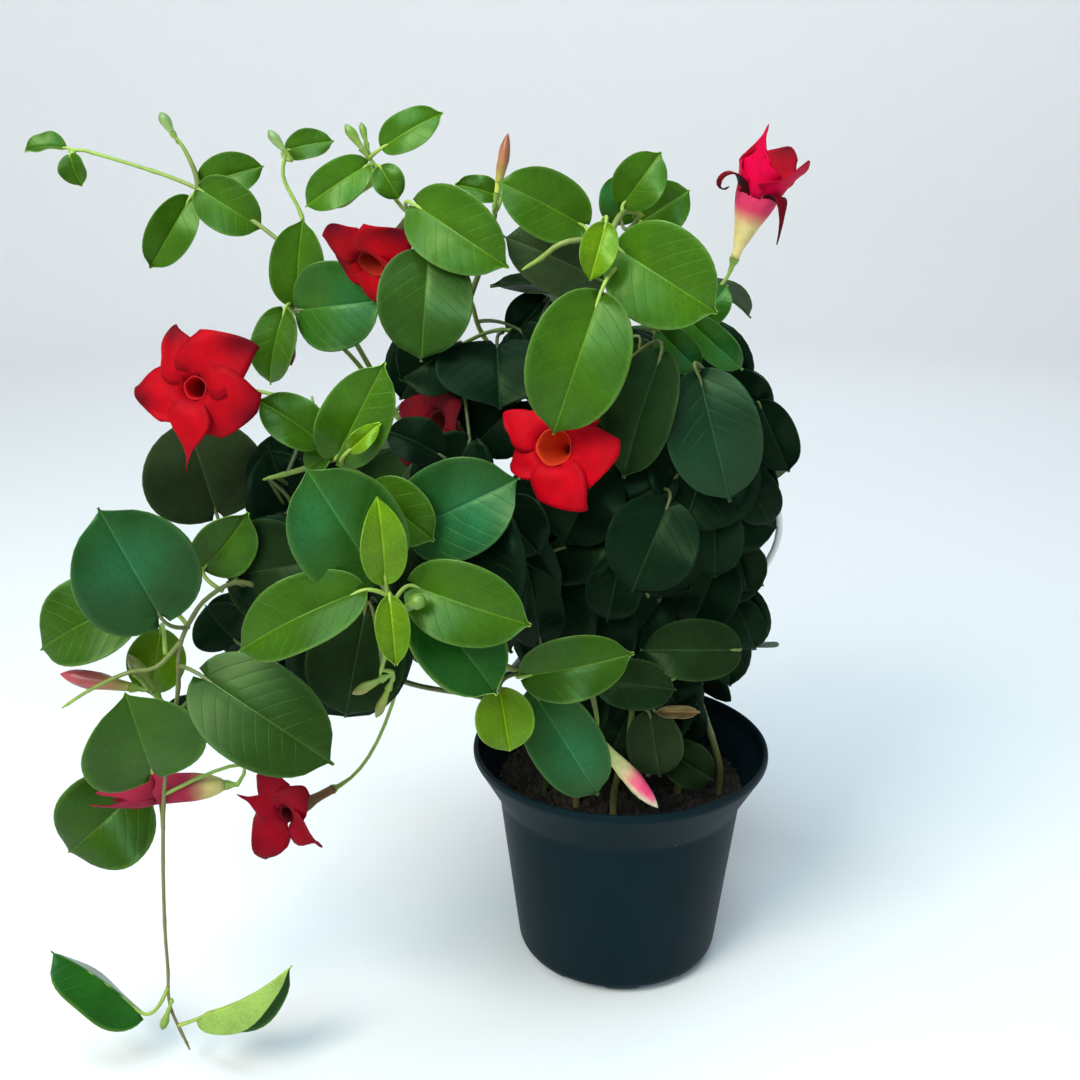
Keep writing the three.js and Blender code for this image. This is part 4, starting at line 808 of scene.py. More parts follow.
def tintedMaterial(name, grain, depth, values):  # tissue whose colour is in its points
    material, tree = startMaterial(name)
    spots = specks(tree, grain, 5.0)
    addSkin(tree, {"Base Color": mottledTint(tree, (spots, 0.85, 1.15)), **values}, (spots, 0.5, depth))
    return material


def petalMaterial(name, foldCount):  # velvety tissue with fine lengthwise folds: deep colour, hardly any highlight
    material, tree = startMaterial(name)
    place = addNode(tree, "ShaderNodeSeparateXYZ", {0: addNode(tree, "ShaderNodeUVMap", uv_map="petal")})
    turns = addNode(tree, "ShaderNodeMath", {0: place, 1: 2 * math.pi * foldCount}, operation="MULTIPLY")
    folds = addNode(tree, "ShaderNodeMath", {0: turns}, operation="SINE")
    grain = addNode(tree, "ShaderNodeMath", {0: folds, 1: 0.06, 2: specks(tree, 7.692, 4.0)}, operation="MULTIPLY_ADD")
    addSkin(tree, {"Base Color": mottledTint(tree, (grain, 0.84, 1.1)), "Roughness": 0.6, "Specular IOR Level": 0.06,
                   "Sheen Weight": 0.01, "Sheen Roughness": 0.4}, (grain, 0.25, 0.3))
    return material


def cloudedMaterial(name, tones, clouds, values, grain=None, relief=()):  # clouds and grain: what specks takes
    material, tree = startMaterial(name)
    spots = specks(tree, *clouds)
    color = addNode(tree, "ShaderNodeMix", {0: spots, 6: tones[0], 7: tones[1]}, data_type="RGBA").outputs[2]
    height = specks(tree, *grain) if grain else spots
    addSkin(tree, {"Base Color": color, **values}, relief and (height, *relief))
    return material


def plainMaterial(name, hexColour, roughness):
    material, tree = startMaterial(name)
    addSkin(tree, {"Base Color": hexColour, "Roughness": roughness})
    return material


leafUpper = leafMaterial("waxy mandevilla leaf, upper face", True, 0.4)
leafUnder = leafMaterial("matt mandevilla leaf, underside", False, 0.2)
leafOld = leafMaterial("old mandevilla leaf, dulled upper face", True, 0.1)
greenWood = tintedMaterial("twining stem, green to half woody", 4.545, 0.3, {"Roughness": 0.5})  # a broad soft shine
petalSkin = petalMaterial("velvety mandevilla petal", 11)
budSkin = tintedMaterial("waxy flower bud", 6.25, 0.2, {"Roughness": 0.42, "Coat Weight": 0.1})  # a faint gloss


# Meshes. A part is a dictionary with points, faces and tints, and where it needs them kinds, uv and map.
def added(name, data):
    thing = bpy.data.objects.new(name, data)
    bpy.context.scene.collection.objects.link(thing)
    return thing


def fitted(thing, nodes):
    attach(thing, "root")
    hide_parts(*nodes)
    return thing


def joined(parts, key):
    return np.concatenate([part[key] for part in parts])


def opaque(tints):
    return np.column_stack([tints, np.ones(len(tints))]).ravel()


def piece(name, parts, materials, nodes):  # one mesh from its parts
    faces, start = [], 0
    for part in parts:
        faces += [tuple(int(c) + start for c in face) for face in part["faces"]]
        start += len(part["points"])
    mesh = bpy.data.meshes.new(name)
    mesh.from_pydata((joined(parts, "points") * mm).tolist(), [], faces)
    for material in materials:
        mesh.materials.append(material)
    if len(materials) > 1:
        mesh.polygons.foreach_set("material_index", joined(parts, "kinds").tolist())
    mesh.polygons.foreach_set("use_smooth", [True] * len(faces))
    mesh.color_attributes.new("tint", "FLOAT_COLOR", "POINT").data.foreach_set("color", opaque(joined(parts, "tints")))
    if "uv" in parts[0]:
        corners = np.empty(len(mesh.loops), dtype=int)
        mesh.loops.foreach_get("vertex_index", corners)
        layer = mesh.uv_layers.new(name=parts[0]["map"])
        layer.data.foreach_set("uv", joined(parts, "uv")[corners].ravel())
    mesh.update()
    return fitted(added(name, mesh), nodes)


def thinShell(top, under, tintTop, tintUnder, uv, uvMap, kinds=(0, 0)):  # a closed thin part from its two faces
    rowCount, across = top.shape[:2]
    around = 2 * across
    faces, kindsOf = [], []
    for i in range(rowCount - 1):
        for j in range(around):
            a, b = i * around + j, i * around + (j + 1) % around
            faces.append((a, b, b + around, a + around))
            kindsOf.append(kinds[0] if j < across or j == around - 1 else kinds[1])
    last = (rowCount - 1) * around
    for j in range(across - 1):
        facing = around - 1 - j
        faces.append((j, facing, facing - 1, j + 1))
        faces.append((last + j, last + j + 1, last + facing - 1, last + facing))
        kindsOf += [kinds[0], kinds[0]]
    return {"faces": faces, "kinds": kindsOf, "map": uvMap,
            "points": np.concatenate([top, under[:, ::-1]], axis=1).reshape(-1, 3),
            "tints": np.concatenate([tintTop, tintUnder[:, ::-1]], axis=1).reshape(-1, 3),
            "uv": np.concatenate([uv, uv[:, ::-1]], axis=1).reshape(-1, 2)}


def circle(count):
    return np.linspace(0, 2 * math.pi, count, endpoint=False)


def ringPoints(radius, angle, height):  # rows of points round the axis
    ring = np.broadcast_arrays(radius * np.cos(angle), radius * np.sin(angle), height)
    return np.stack(ring, axis=-1).reshape(-1, 3)


def bands(rings, around, start=0):  # faces between rings of points
    corners = [(i * around + start + j, i * around + start + (j + 1) % around)
               for i in range(rings - 1) for j in range(around)]
    return [(a, b, b + around, a + around) for a, b in corners]


def capped(rings, around):  # the same, with a flat face at each end
    top = (rings - 1) * around
    return bands(rings, around) + [tuple(range(around - 1, -1, -1)), tuple(range(top, top + around))]


def units(vectors):
    return vectors / (np.linalg.norm(vectors, axis=-1, keepdims=True) + 1e-12)


# Leaves
leafLook = {
    "seed": 101, "rows": 20, "thickness": 0.5, "groove": 0.4, "grooveWidth": 0.9, "border": 0.3,
    "acrossHalf": [0.035, 0.1, 0.26, 0.48, 0.7, 0.88, 0.965, 1.0],
    "innerRows": 12, "innerHalf": [0.08, 0.4, 0.75, 1.0],
    "body": (0.94, 0.88, 2.2), "drip": (0.26, 0.16, 1.3),  # the outline: body's end, widest place, power; drip tip
    "roundness": {"usual": 1, "young": 0.35, "fresh": 0.35, "bright": 0.8},
    "breadth": {"usual": 1.04, "dark": 1.12, "deep": 1.2, "young": 1}, "dulled": ("deep", "dark", "dull"), "behind": 34,
    # each leaf's tint: a random brightness (least, spread), times painted light that grows with height (low, gain)
    "randomToneAndPaintedLight": {"least": 0.74, "spread": 0.4, "low": 0.85, "gain": 0.5},
    # painted sheen: a pale teal patch on the upper face of teal, mid and shade leaves, standing for the sky's
    # reflection; its share and place along the blade
    "paintedSheenColour": "#1C7C58", "bloom": {"teal": (0.3, 0.55), "mid": (0.24, 0.66), "shade": (0.05, 0.6)},
    "retouch": [  # tip in the view, change of roll, fold, breadth, tone
        (125, 693, -15, 13, 1.08, "bright"), (152, 695, -30, 12, 1.1, "young"), (303, 218, -34, 12, 1.05, "bright"),
        (334, 141, -50, 12, 1, "bright"), (443, 113, -30, 10, 1, "bright"), (305, 207, 0, 12, 0.86, "bright"),
        (264, 166, -50, 12, 1, "bright"), (624, 478, -10, 10, 1.25, "dark"), (345, 718, 0, 8, 1, "dark"),
        (325, 560, -10, 8, 1, "dark"), (68, 853, 8, 14, 1.1, "bright"), (238, 652, -8, 18, 1.05, "bright"),
        (334, 765, 0, 8, 1, "olive"), (185, 415, 0, 8, 1.08, "dull"), (40, 650, 0, 14, 1.08, "bright"),
        (510, 752, 0, 28, 1, "fresh"), (497, 695, 0, 12, 1, "turned"), (421, 362, 0, 8, 1, "olive"),
    ],
    "tones": {  # upper face by the midrib and at the edge, then the underside
        "young": ("#5C7C06", "#4C6E04", "#8CAC3C"), "bright": ("#345406", "#284A06", "#7A9C4A"),
        "mid": ("#2C540E", "#20480E", "#6C9444"), "teal": ("#204A1A", "#184016", "#5E8648"),
        # deep and shade: near-black tints, painted shade for leaves inside the bush
        "dark": ("#1A2C13", "#152610", "#425C32"), "deep": ("#091C0E", "#07160C", "#1A3220"),
        "shade": ("#0A2214", "#081C10", "#2C4C30"), "dull": ("#2E3B22", "#28341D", "#4E6138"),
        "olive": ("#29460F", "#213A0D", "#5E7E44"), "fresh": ("#70940A", "#5E8406", "#9CBC4C"),
        "dry": ("#8E7448", "#7A6040", "#A08A60"), "turned": ("#184A12", "#144410", "#9CBE5A"),
        "roof": ("#2A6E1A", "#185A14", "#9CBE5A"),
    },
}


def bladeOutline(s, roundness):  # rounder than the plain solids' blades, with a small drip tip
    end, widest, power = leafLook["body"]
    width, length, taper = leafLook["drip"]
    body = np.sqrt((1 - np.abs(2 * (s / end).clip(0, 1) ** widest - 1) ** power).clip(0, 1))
    tip = width * ((1 - s) / length).clip(0, 1) ** taper * eased(0.6, 0.85, s)
    return mix(outline(s), (body ** 5 + tip ** 5) ** 0.2, roundness)


def retouched(leaf, roll, fold, breadth, tone):
    turn = math.radians(roll)
    up = leaf["up"] * math.cos(turn) + leaf["side"] * math.sin(turn)
    return {**leaf, "up": up, "side": np.cross(leaf["along"], up), "fold": math.radians(fold),
            "width": leaf["width"] * breadth, "tone": tone}


def leafPart(leaf, draw, rows, half):
    look, tone = leafLook, leaf["tone"]
    leaf = {**leaf, "width": leaf["width"] * look["breadth"].get(tone, look["breadth"]["usual"])}
    roundness = look["roundness"].get(tone, look["roundness"]["usual"])
    s = 0.5 - 0.5 * np.cos(math.pi * (np.arange(rows) + 0.35) / (rows - 0.3))  # closer rows at both ends
    rowS, rowT = np.meshgrid(s, [-x for x in reversed(half)] + [0] + half, indexing="ij")

    def at(ahead, aside):  # the blade's middle layer, a little further along or across
        return leafPoints(leaf, (rowS + ahead).clip(0, 1), rowT + aside, lambda s: bladeOutline(s, roundness))
    normal = units(np.cross(at(0, 0.05) - at(0, -0.05), at(0.01, 0) - at(-0.01, 0)))
    across = rowT * leaf["width"] / 2 * bladeOutline(rowS, roundness)
    sink = look["groove"] * np.exp(-(across / look["grooveWidth"]) ** 2)
    top = at(0, 0) + normal * (look["thickness"] / 2 - sink)[..., None]
    under = at(0, 0) - normal * (look["thickness"] / 2 + sink)[..., None]
    inner, edge, below = [linear(c) for c in look["tones"][tone]]
    randomToneAndPaintedLight = look["randomToneAndPaintedLight"]["least"] + look["randomToneAndPaintedLight"]["spread"] * draw()
    if tone != "deep":  # painted light: leaves high in the bush are given lighter tints, as if more lit
        randomToneAndPaintedLight *= look["randomToneAndPaintedLight"]["low"] + look["randomToneAndPaintedLight"]["gain"] * (leaf["base"][2] - 120) / 300
    blend = (0.25 + 0.6 * np.abs(rowT) ** 1.5 + 0.15 * rowS)[..., None].clip(0, 1)
    # painted sheen: the pale teal patch where the sky would be reflected
    share, place = look["bloom"].get(tone, (0, 0.5))
    paintedSheen = share * np.exp(-((rowS - place) / 0.24) ** 2 - ((rowT - draw() + 0.5) / 0.7) ** 2)[..., None]
    tintTop = mix(mix(inner, edge, blend) * randomToneAndPaintedLight, linear(look["paintedSheenColour"]), paintedSheen)
    tintTop = mix(tintTop, below, look["border"] * eased(0.93, 1, np.abs(rowT))[..., None])
    uv = np.stack([0.5 + across / veins["mapSize"], rowS * leaf["length"] / veins["mapSize"]], axis=-1)
    return thinShell(top, under, tintTop, np.broadcast_to(below * randomToneAndPaintedLight, tintTop.shape), uv, "blade",
                     (2 if tone in look["dulled"] else 0, 1))


for u, v, *change in leafLook["retouch"]:
    tips = [(np.hypot(*(seenFrom(leafPoints(leaf, [1.0], [0.0]))[0] - (u, v))), name, i)
            for name, vine in grown.items() for i, leaf in enumerate(vine["leaves"])]
    name, i = min(tips)[1:]
    grown[name]["leaves"][i] = retouched(grown[name]["leaves"][i], *change)
for leaf in [leaf for vine in grown.values() for leaf in vine["leaves"] + vine["inner"]]:
    if leaf["tone"] == "deep" and leaf["base"][1] > leafLook["behind"]:
        leaf["tone"] = "dark"  # leaves at the back of the bush stand in the open, so they get no painted shade
draw = drawer(leafLook["seed"])
for vine in grown.values():
    parts = [leafPart(leaf, draw, leafLook["rows"], leafLook["acrossHalf"]) for leaf in vine["leaves"]]
    parts += [leafPart(leaf, draw, leafLook["innerRows"], leafLook["innerHalf"]) for leaf in vine["inner"]]
    piece(vine["name"] + "_leaves", parts, [leafUpper, leafUnder, leafOld], [vine["name"]])
print("leaves made")


# Geometry Nodes trees
def startTree(title, inputs):  # the tree, its input node and the identifiers of its named inputs
    tree = bpy.data.node_groups.new(title, "GeometryNodeTree")
    names = {name: tree.interface.new_socket(name, in_out="INPUT", socket_type="NodeSocket" + kind).identifier
             for name, kind in {"Geometry": "Geometry", **inputs, "Material": "Material"}.items()}
    tree.interface.new_socket("Geometry", in_out="OUTPUT", socket_type="NodeSocketGeometry")
    return tree, addNode(tree, "NodeGroupInput"), names


def endTree(tree, given, geometry):
    real = addNode(tree, "GeometryNodeRealizeInstances", {"Geometry": geometry})
    done = addNode(tree, "GeometryNodeSetMaterial", {"Geometry": real, "Material": given.outputs["Material"]})
    addNode(tree, "NodeGroupOutput", {"Geometry": done})


def applied(thing, tree, names, values):  # leaves the tree's result as the object's plain mesh
    modifier = thing.modifiers.new("tree", "NODES")
    modifier.node_group = tree
    for name, value in values.items():
        modifier[names[name]] = value
    mesh = bpy.data.meshes.new_from_object(thing.evaluated_get(bpy.context.evaluated_depsgraph_get()))
    thing.modifiers.clear()
    thing.data = mesh
    return thing


def tubeTree():
    tree, given, names = startTree("tubes along lines", {"Sides": "Int"})
    lines = addNode(tree, "GeometryNodeMeshToCurve", {"Mesh": given.outputs["Geometry"]})
    profile = addNode(tree, "GeometryNodeCurvePrimitiveCircle", {"Resolution": given.outputs["Sides"], "Radius": 1.0})
    thick = addNode(tree, "GeometryNodeInputNamedAttribute", {"Name": "thick"}, data_type="FLOAT")
    tubes = addNode(tree, "GeometryNodeCurveToMesh", {
        "Curve": lines, "Profile Curve": profile, "Scale": thick, "Fill Caps": True})
    endTree(tree, given, addNode(tree, "GeometryNodeSetShadeSmooth", {"Geometry": tubes, "Shade Smooth": True}))
    return tree, names


tubes, tubeInputs = tubeTree()


# Stems, stalks and the hoop: tubes along lines
def tubePiece(name, runs, sides, material, nodes):  # runs: points, radii and tints of each line
    points, radii, tints = [np.concatenate(rows) for rows in zip(*runs)]
    edges, start = [], 0
    for run in runs:
        edges += [(start + i, start + i + 1) for i in range(len(run[0]) - 1)]
        start += len(run[0])
    lines = bpy.data.meshes.new(name)
    lines.from_pydata((points * mm).tolist(), edges, [])
    lines.attributes.new("thick", "FLOAT", "POINT").data.foreach_set("value", radii * mm)
    lines.attributes.new("tint", "FLOAT_COLOR", "POINT").data.foreach_set("color", opaque(tints))
    fitted(applied(added(name, lines), tubes, tubeInputs, {"Sides": sides, "Material": material}), nodes)


stemLook = {
    "sides": 8, "pitch": 4, "end": 0.4, "slim": {"usual": 0.88, "vine_hanging": 0.68},
    "node": 0.35, "nodeGap": 34, "nodeSharpness": 24,  # the rings where leaves sat
    # the hanging vine's stem: its dark foot is painted shade where it runs under the leaves, the olive brown further on
    # is its own colour
    "tones": ("#6E5B3A", "#6F7A38", "#86A23C"), "hangingTonesAndShade": ("#2C3418", "#5E6A2E", "#7A6A42"),
    "stalkOld": "#5E6B34", "stalkYoung": "#8DA63F", "deepStalk": 0.55, "stalkSteps": 9, "stalk": (1.1, 0.85),
    "cup": "#7E9A3C", "cupSteps": 8, "cupStalk": 0.95, "lifted": {"corolla_faded": (0, 4, 12)},
}


def stemRun(vine, stem):
    curve, look = stem["curve"], stemLook
    points = evenly(curve, look["pitch"])
    share = np.linspace(0, 1, len(points))
    radii = stem["thick"] + (growth["stemTip"] - stem["thick"]) * share
    turns = 2 * math.pi * share * curve["lengths"][-1] / look["nodeGap"]
    radii += look["node"] * np.maximum(0, np.cos(turns)) ** look["nodeSharpness"]
    radii *= look["slim"].get(vine["name"], look["slim"]["usual"])
    radii[-1] *= look["end"]
    hanging = vine["name"] == "vine_hanging" and stem["first"]
    foot, middle, tip = [linear(c) for c in look["hangingTonesAndShade" if hanging else "tones"]]
    if not stem["first"]:
        foot = middle
    share = share[:, None]
    return points, radii, np.where(share < 0.4, mix(foot, middle, share / 0.4), mix(middle, tip, (share - 0.4) / 0.6))


def stalkRun(leaf):  # the stalk, then the midrib under its blade
    look, count = stemLook, stemLook["stalkSteps"]
    thick, thin = look["stalk"]
    s = np.array([0.06, 0.2, 0.4, 0.6, 0.8, 0.94])
    midrib = leafPoints(leaf, s, 0 * s) - np.maximum(0.55, 1.0 - 0.75 * s)[:, None] * unit(leaf["up"])
    points = np.concatenate([bezier(leaf["stalk"]["ends"], np.linspace(0, 1, count)), midrib])
    radii = np.concatenate([np.linspace(thick, thin, count), thin - 0.7 * s])
    young = leaf["tone"] in ("young", "bright", "turned", "roof")
    # painted shade: stalks of the deep leaves inside the bush are darkened
    tint = linear(look["stalkYoung" if young else "stalkOld"]) * (look["deepStalk"] if leaf["tone"] == "deep" else 1)
    return points, radii, np.tile(tint, (len(points), 1))


def cupRun(end):  # the stalk, then the green cup under a flower or bud
    look, count = stemLook, stemLook["cupSteps"]
    root, control, top = end["stalk"]["ends"]
    lift = np.array(look["lifted"].get(end["title"], (0, 0, 0)))
    line = bezier((root, control + lift, top), np.linspace(0, 1, count))
    mouth = end["base"] - growth["gap"] * end["axis"]
    cup = np.array([line[-1] + (mouth - line[-1]) * k for k in (0.35, 0.7, 1)])
    radii = np.concatenate([np.full(count, look["cupStalk"]), np.array([0.5, 0.85, 1]) * end["mouth"]])
    radii[count - 1] = bloom["cupRoot"]
    return np.concatenate([line, cup]), radii, np.tile(linear(look["cup"]), (len(radii), 1))


for vine in grown.values():
    runs = [stemRun(vine, stem) for stem in vine["stems"]]
    runs += [stalkRun(leaf) for leaf in vine["leaves"] + vine["inner"]]
    runs += [cupRun(end) for end in vine["ends"]]
    tubePiece(vine["name"] + "_stems", runs, stemLook["sides"], greenWood, [vine["name"]])
print("stems made")

# The hoop: extruded rod with a smooth white skin, which keeps a small sharp highlight.
hoopSkin = plainMaterial("white plastic coated rod", "#E8EAE6", 0.35)
line = evenly(hoopCurve, hoop["fineStep"])
tubePiece("hoop", [(line, np.full(len(line), hoop["radius"]), np.ones((len(line), 3)))], hoop["sides"], hoopSkin,
          ["trellis_hoop"])
print("hoop made")


# Flowers
flowerLook = {
    "seed": 211, "around": 30, "tubeRows": 16, "wall": 0.5, "rows": 13, "acrossPetal": 11, "bendSteps": 40,
    "joint": 0.9, "mouth": 7.8, "shred": 4,  # petals narrower than shred are dark shreds
    "tube": [(0, 2.3), (0.25, 2.35), (0.42, 2.8), (0.55, 4.2), (0.7, 5.8), (0.85, 6.9), (0.97, 7.8)],
    "wideTube": [(0, 2.3), (0.12, 2.5), (0.3, 4.4), (0.45, 6), (0.6, 7), (0.8, 7.5), (0.97, 7.8)],
    "fatTube": [(0, 2.4), (0.06, 3.8), (0.2, 5.8), (0.4, 7.0), (0.85, 7.6), (0.97, 7.8)],
    "colours": {  # tube at its root and mouth, inside of the throat, petal, its edge, its back
        "usual": ("#D8C98A", "#C82A2E", "#C83A18", "#B40012", "#6A0212", "#A80828"),
        "corolla_left": ("#D8C98A", "#C82A2E", "#B00A16", "#A60010", "#50020E", "#A80828"),
        # corolla_shade: the usual colours darkened, painted shade for a flower among the shaded leaves
        "corolla_shade": ("#8A6A50", "#5A101C", "#4A1410", "#60040E", "#34030C", "#560A1A"),
        # corolla_low: a deeper crimson of its own, darkened further as painted shade
        "corolla_low": ("#7A5A40", "#6A1424", "#4A060C", "#7E0014", "#500212", "#8C0628"),
        "corolla_far": ("#5A5234", "#7A1C28", "#A82818", "#A8000E", "#520418", "#A80A2C"),
        "corolla_faded": ("#C8BE78", "#982840", "#5A1018", "#7A1028", "#56081C", "#8E2238"),
        "corolla_top_right": ("#E2CE8A", "#DA3A62", "#A01424", "#B0001E", "#46040E", "#D0003A"),
    },
    "petals": {  # each petal: turn, reach, half width, opening, droop, side of its corner, width of its end
        "corolla_left": [(30, 31, 15.5, 92, 0, -0.8, 0.8), (97, 26, 11, 86, 14, -0.9, 0.5),
                         (178, 25, 14, 90, 8, -0.6, 0.65), (243, 36, 11.5, 96, 0, 0.1, 0.07),
                         (309, 28, 16.5, 94, 12, 0.4, 0.8)],
        "corolla_middle": [(20, 27, 13, 90, 0, -0.7, 0.7), (109, 24, 12, 88, 0, 0.1, 0.55),
                           (178, 18, 11, 92, 6, -0.5, 0.6), (244, 27, 14.5, 92, 6, 0.8, 0.85),
                           (306, 27, 15.5, 90, 4, 0.5, 0.85)],
        "corolla_far": [(12, 31, 15, 104, 0, -0.5, 0.85), (80, 24, 15, 92, 0, 0.3, 0.8),
                        (156, 15, 13, 76, 20, -0.4, 0.75), (232, 19, 13, 70, 0, 0.3, 0.7),
                        (306, 20, 13, 66, 0, 0.5, 0.7)],
        "corolla_top_right": [(212, 35, 15, 1, -4, 0, 0.1), (312, 24, 15.5, 15, 10, 0.2, 0.7),
                              (150, 17, 12, 4, 0, 0.2, 0.6), (50, 26, 13.5, 10, 10, -0.3, 0.7),
                              (190, 31, 3.2, 40, 290, 0, 0.7), (290, 30, 2.8, 150, 25, 0, 0.4)],
        "corolla_faded": [(k * 72, 33 - 5 * (k % 3), 7, 1 - 5 * (k % 2), -3, 0.2, 0.3) for k in range(5)],
        "corolla_low": [(2, 25, 11, 74, 20, -0.3, 0.55), (48, 24, 12, 76, 10, 0.3, 0.75),
                        (108, 26, 9, 80, -20, 0.1, 0.1), (172, 27, 13.5, 80, 10, 0.4, 0.75),
                        (292, 29, 10.5, 84, -10, -0.2, 0.1)],
    },
    "tubes": {"corolla_faded": "fatTube", "corolla_top_right": "wideTube"},
    "mouths": {"corolla_top_right": 11, "corolla_middle": 9, "corolla_left": 5.2, "corolla_low": 4.4},
    "patches": {"usual": 0.6, "corolla_left": 0.95, "corolla_middle": 0.3, "corolla_top_right": 0.9,
                "corolla_far": 0.95},
    # painted shade in the throat: the inside colour at its bottom, as a share of the colour at its mouth
    "throatShade": {"usual": 0.4, "corolla_middle": 1.0, "corolla_left": 0.8},
    "turning": {"usual": (0.55, 0.95), "corolla_faded": (0.08, 0.5), "corolla_top_right": (0.42, 0.74)},
}


def petalPart(end, plan, mouth, colours, draw):
    turn, reach, wide, opening, droop, corner, last = plan
    a, t = np.meshgrid(np.linspace(0, 1, flowerLook["rows"]), np.linspace(-1, 1, flowerLook["acrossPetal"]),
                       indexing="ij")
    q = a * (1 - 0.34 * (np.abs(t - corner) / (1 + abs(corner))) ** 1.5)
    steps = np.linspace(0, 1, flowerLook["bendSteps"] + 1)
    bend = np.radians(mix(15, opening, eased(0, 0.4, steps)) + droop * steps ** 2)

    def gone(rates):  # how far the petal has come at each q
        sums = np.concatenate([[0], np.cumsum(rates[1:])])
        return np.interp(q, steps, sums * reach / flowerLook["bendSteps"])
    out = 0.95 * mouth + gone(np.sin(bend))
    high = flowerLook["joint"] * bloom["tube"] + gone(np.cos(bend))
    half = mix(min(0.66 * mouth, 2 * wide), wide, eased(0, 0.5, q)) * (1 - (1 - last) * eased(0.5, 1, a))
    aside = t * half
    ring = np.sqrt(np.maximum(out ** 2 - aside ** 2, 0))
    away = mix(ring, out, eased(0.1, 0.75, q)) + 0.4 * t * (1 - eased(0, 0.5, q))
    wave = 0.9 * np.sin(3.1 * t + 5 * a + 6 * draw()) * a - 1.1 * t ** 4 * a + 1.1 * t * eased(0.1, 0.6, q)
    points = turnedBy(math.radians(turn), away, aside, high + wave * min(1, wide / 10))
    normal = units(np.cross(np.gradient(points, axis=0), np.gradient(points, axis=1)))
    petal, edge, back = colours[3:]
    patch = flowerLook["patches"].get(end["title"], flowerLook["patches"]["usual"])
    dark = (patch * eased(0.5, 1, a) * np.exp(-((t - 0.6 * corner) / 0.7) ** 2) + 0.35 * np.abs(t) ** 5
            + 0.5 * eased(0.3, 0, a)).clip(0, 1)[..., None]
    face = mix(petal, edge, dark) * (0.94 + 0.12 * draw())
    if wide < flowerLook["shred"]:
        face, back = mix(edge, face, 0.2), edge * 0.5
    uv = np.stack([(t + 1) / 2, a], axis=-1)
    thick = flowerLook["wall"] / 2
    return thinShell(points - normal * thick, points + normal * thick, mix(back, edge, 0.4 * dark), face, uv, "petal")


def throatPart(end, mouth, colours):  # the tube: up its outside, then down its inside
    look, count, angle = flowerLook, flowerLook["tubeRows"], circle(flowerLook["around"])
    shares, radii = zip(*look[look["tubes"].get(end["title"], "tube")])
    share = np.linspace(0, 0.97, count)
    outer = np.interp(share, shares, radii) * mix(1, mouth / look["mouth"], eased(0.4, 0.9, share))
    height = np.concatenate([share, share[::-1]])[:, None] * bloom["tube"] * np.ones_like(angle)
    height[count:] += 0.25 * np.linspace(0, 1, count)[:, None]
    radius = np.concatenate([outer, outer[::-1] - look["wall"]])[:, None] * (1 + 0.025 * np.cos(5 * angle))
    root, lip, inside = colours[:3]
    blend = eased(*look["turning"].get(end["title"], look["turning"]["usual"]), share)[:, None]
    # painted shade: the inside darkens towards the bottom of the throat
    deep = inside * look["throatShade"].get(end["title"], look["throatShade"]["usual"])
    tints = np.concatenate([mix(root, lip, blend), mix(deep, inside, eased(0.3, 0.8, share)[:, None])[::-1]])
    folds = np.broadcast_to(angle / 2 / math.pi * 5, height.shape)
    return {"points": ringPoints(radius, angle, height), "faces": capped(2 * count, len(angle)),
            "tints": np.repeat(tints, len(angle), axis=0),
            "uv": np.stack([folds, height / bloom["tube"]], axis=-1).reshape(-1, 2), "map": "petal"}


# Buds
budLook = {
    "around": 15, "rows": 14, "twist": 2.2, "rib": 0.09, "blush": "#E0356A",
    "slim": {"bud_front_a": 0.72, "bud_front_b": 0.72, "bud_top_fat": 0.75, "bud_top_thin": 0.75,
             "bud_top_middle": 0.9},
    "profile": [(0, 0.5), (0.2, 0.66), (0.42, 0.9), (0.58, 1), (0.72, 0.93), (0.82, 0.78), (0.92, 0.45), (1, 0.04)],
    "colours": {  # root, middle, tip
        "usual": ("#7E9E3A", "#6E8E2E", "#5A7A26"), "bud_low": ("#C8D070", "#D8CE90", "#E9DCC4"),
        "bud_top_middle": ("#B8C450", "#A2683E", "#86402E"), "bud_left_large": ("#9CA048", "#B04A4A", "#9A2C3C"),
        "bud_left_small": ("#76903A", "#7E8A3C", "#7A7A38"), "bud_front_a": ("#7C9430", "#7E8434", "#7E7038"),
        "bud_front_b": ("#7C9430", "#7E8434", "#6E6A34"), "bud_hanging_left": ("#8A9C40", "#A0503C", "#8E3430"),
        "bud_far_left": ("#8AA860", "#7E9A54", "#66864A"), "bud_back_left": ("#8AA860", "#7E9A54", "#66864A"),
    },
}


def budPart(end, colours):
    look, rows = budLook, budLook["rows"]
    share = 0.5 - 0.5 * np.cos(math.pi * np.arange(rows) / (rows - 1))
    z, w = np.meshgrid(share, circle(look["around"]), indexing="ij")
    ribs = 1 + look["rib"] * np.cos(5 * (w + look["twist"] * z)) * np.sin(math.pi * z)
    radius = end["radius"] * look["slim"].get(end["title"], 1) * np.interp(z, *zip(*look["profile"])) * ribs
    root, middle, tip = colours
    blend = z[..., None]
    tints = np.where(blend < 0.5, mix(root, middle, blend * 2), mix(middle, tip, blend * 2 - 1))
    if end["title"] == "bud_low":  # the rolled petals show hot pink on one side, towards the tip
        patch = eased(0.35, 0.62, z) * eased(0.97, 0.84, z) * eased(-0.3, 0.4, np.cos(w + 1.2 * z + 2.2))
        tints = mix(tints, linear(look["blush"]), patch[..., None])
    return {"points": ringPoints(radius, w, z * end["length"]), "faces": capped(rows, look["around"]),
            "tints": tints.reshape(-1, 3)}


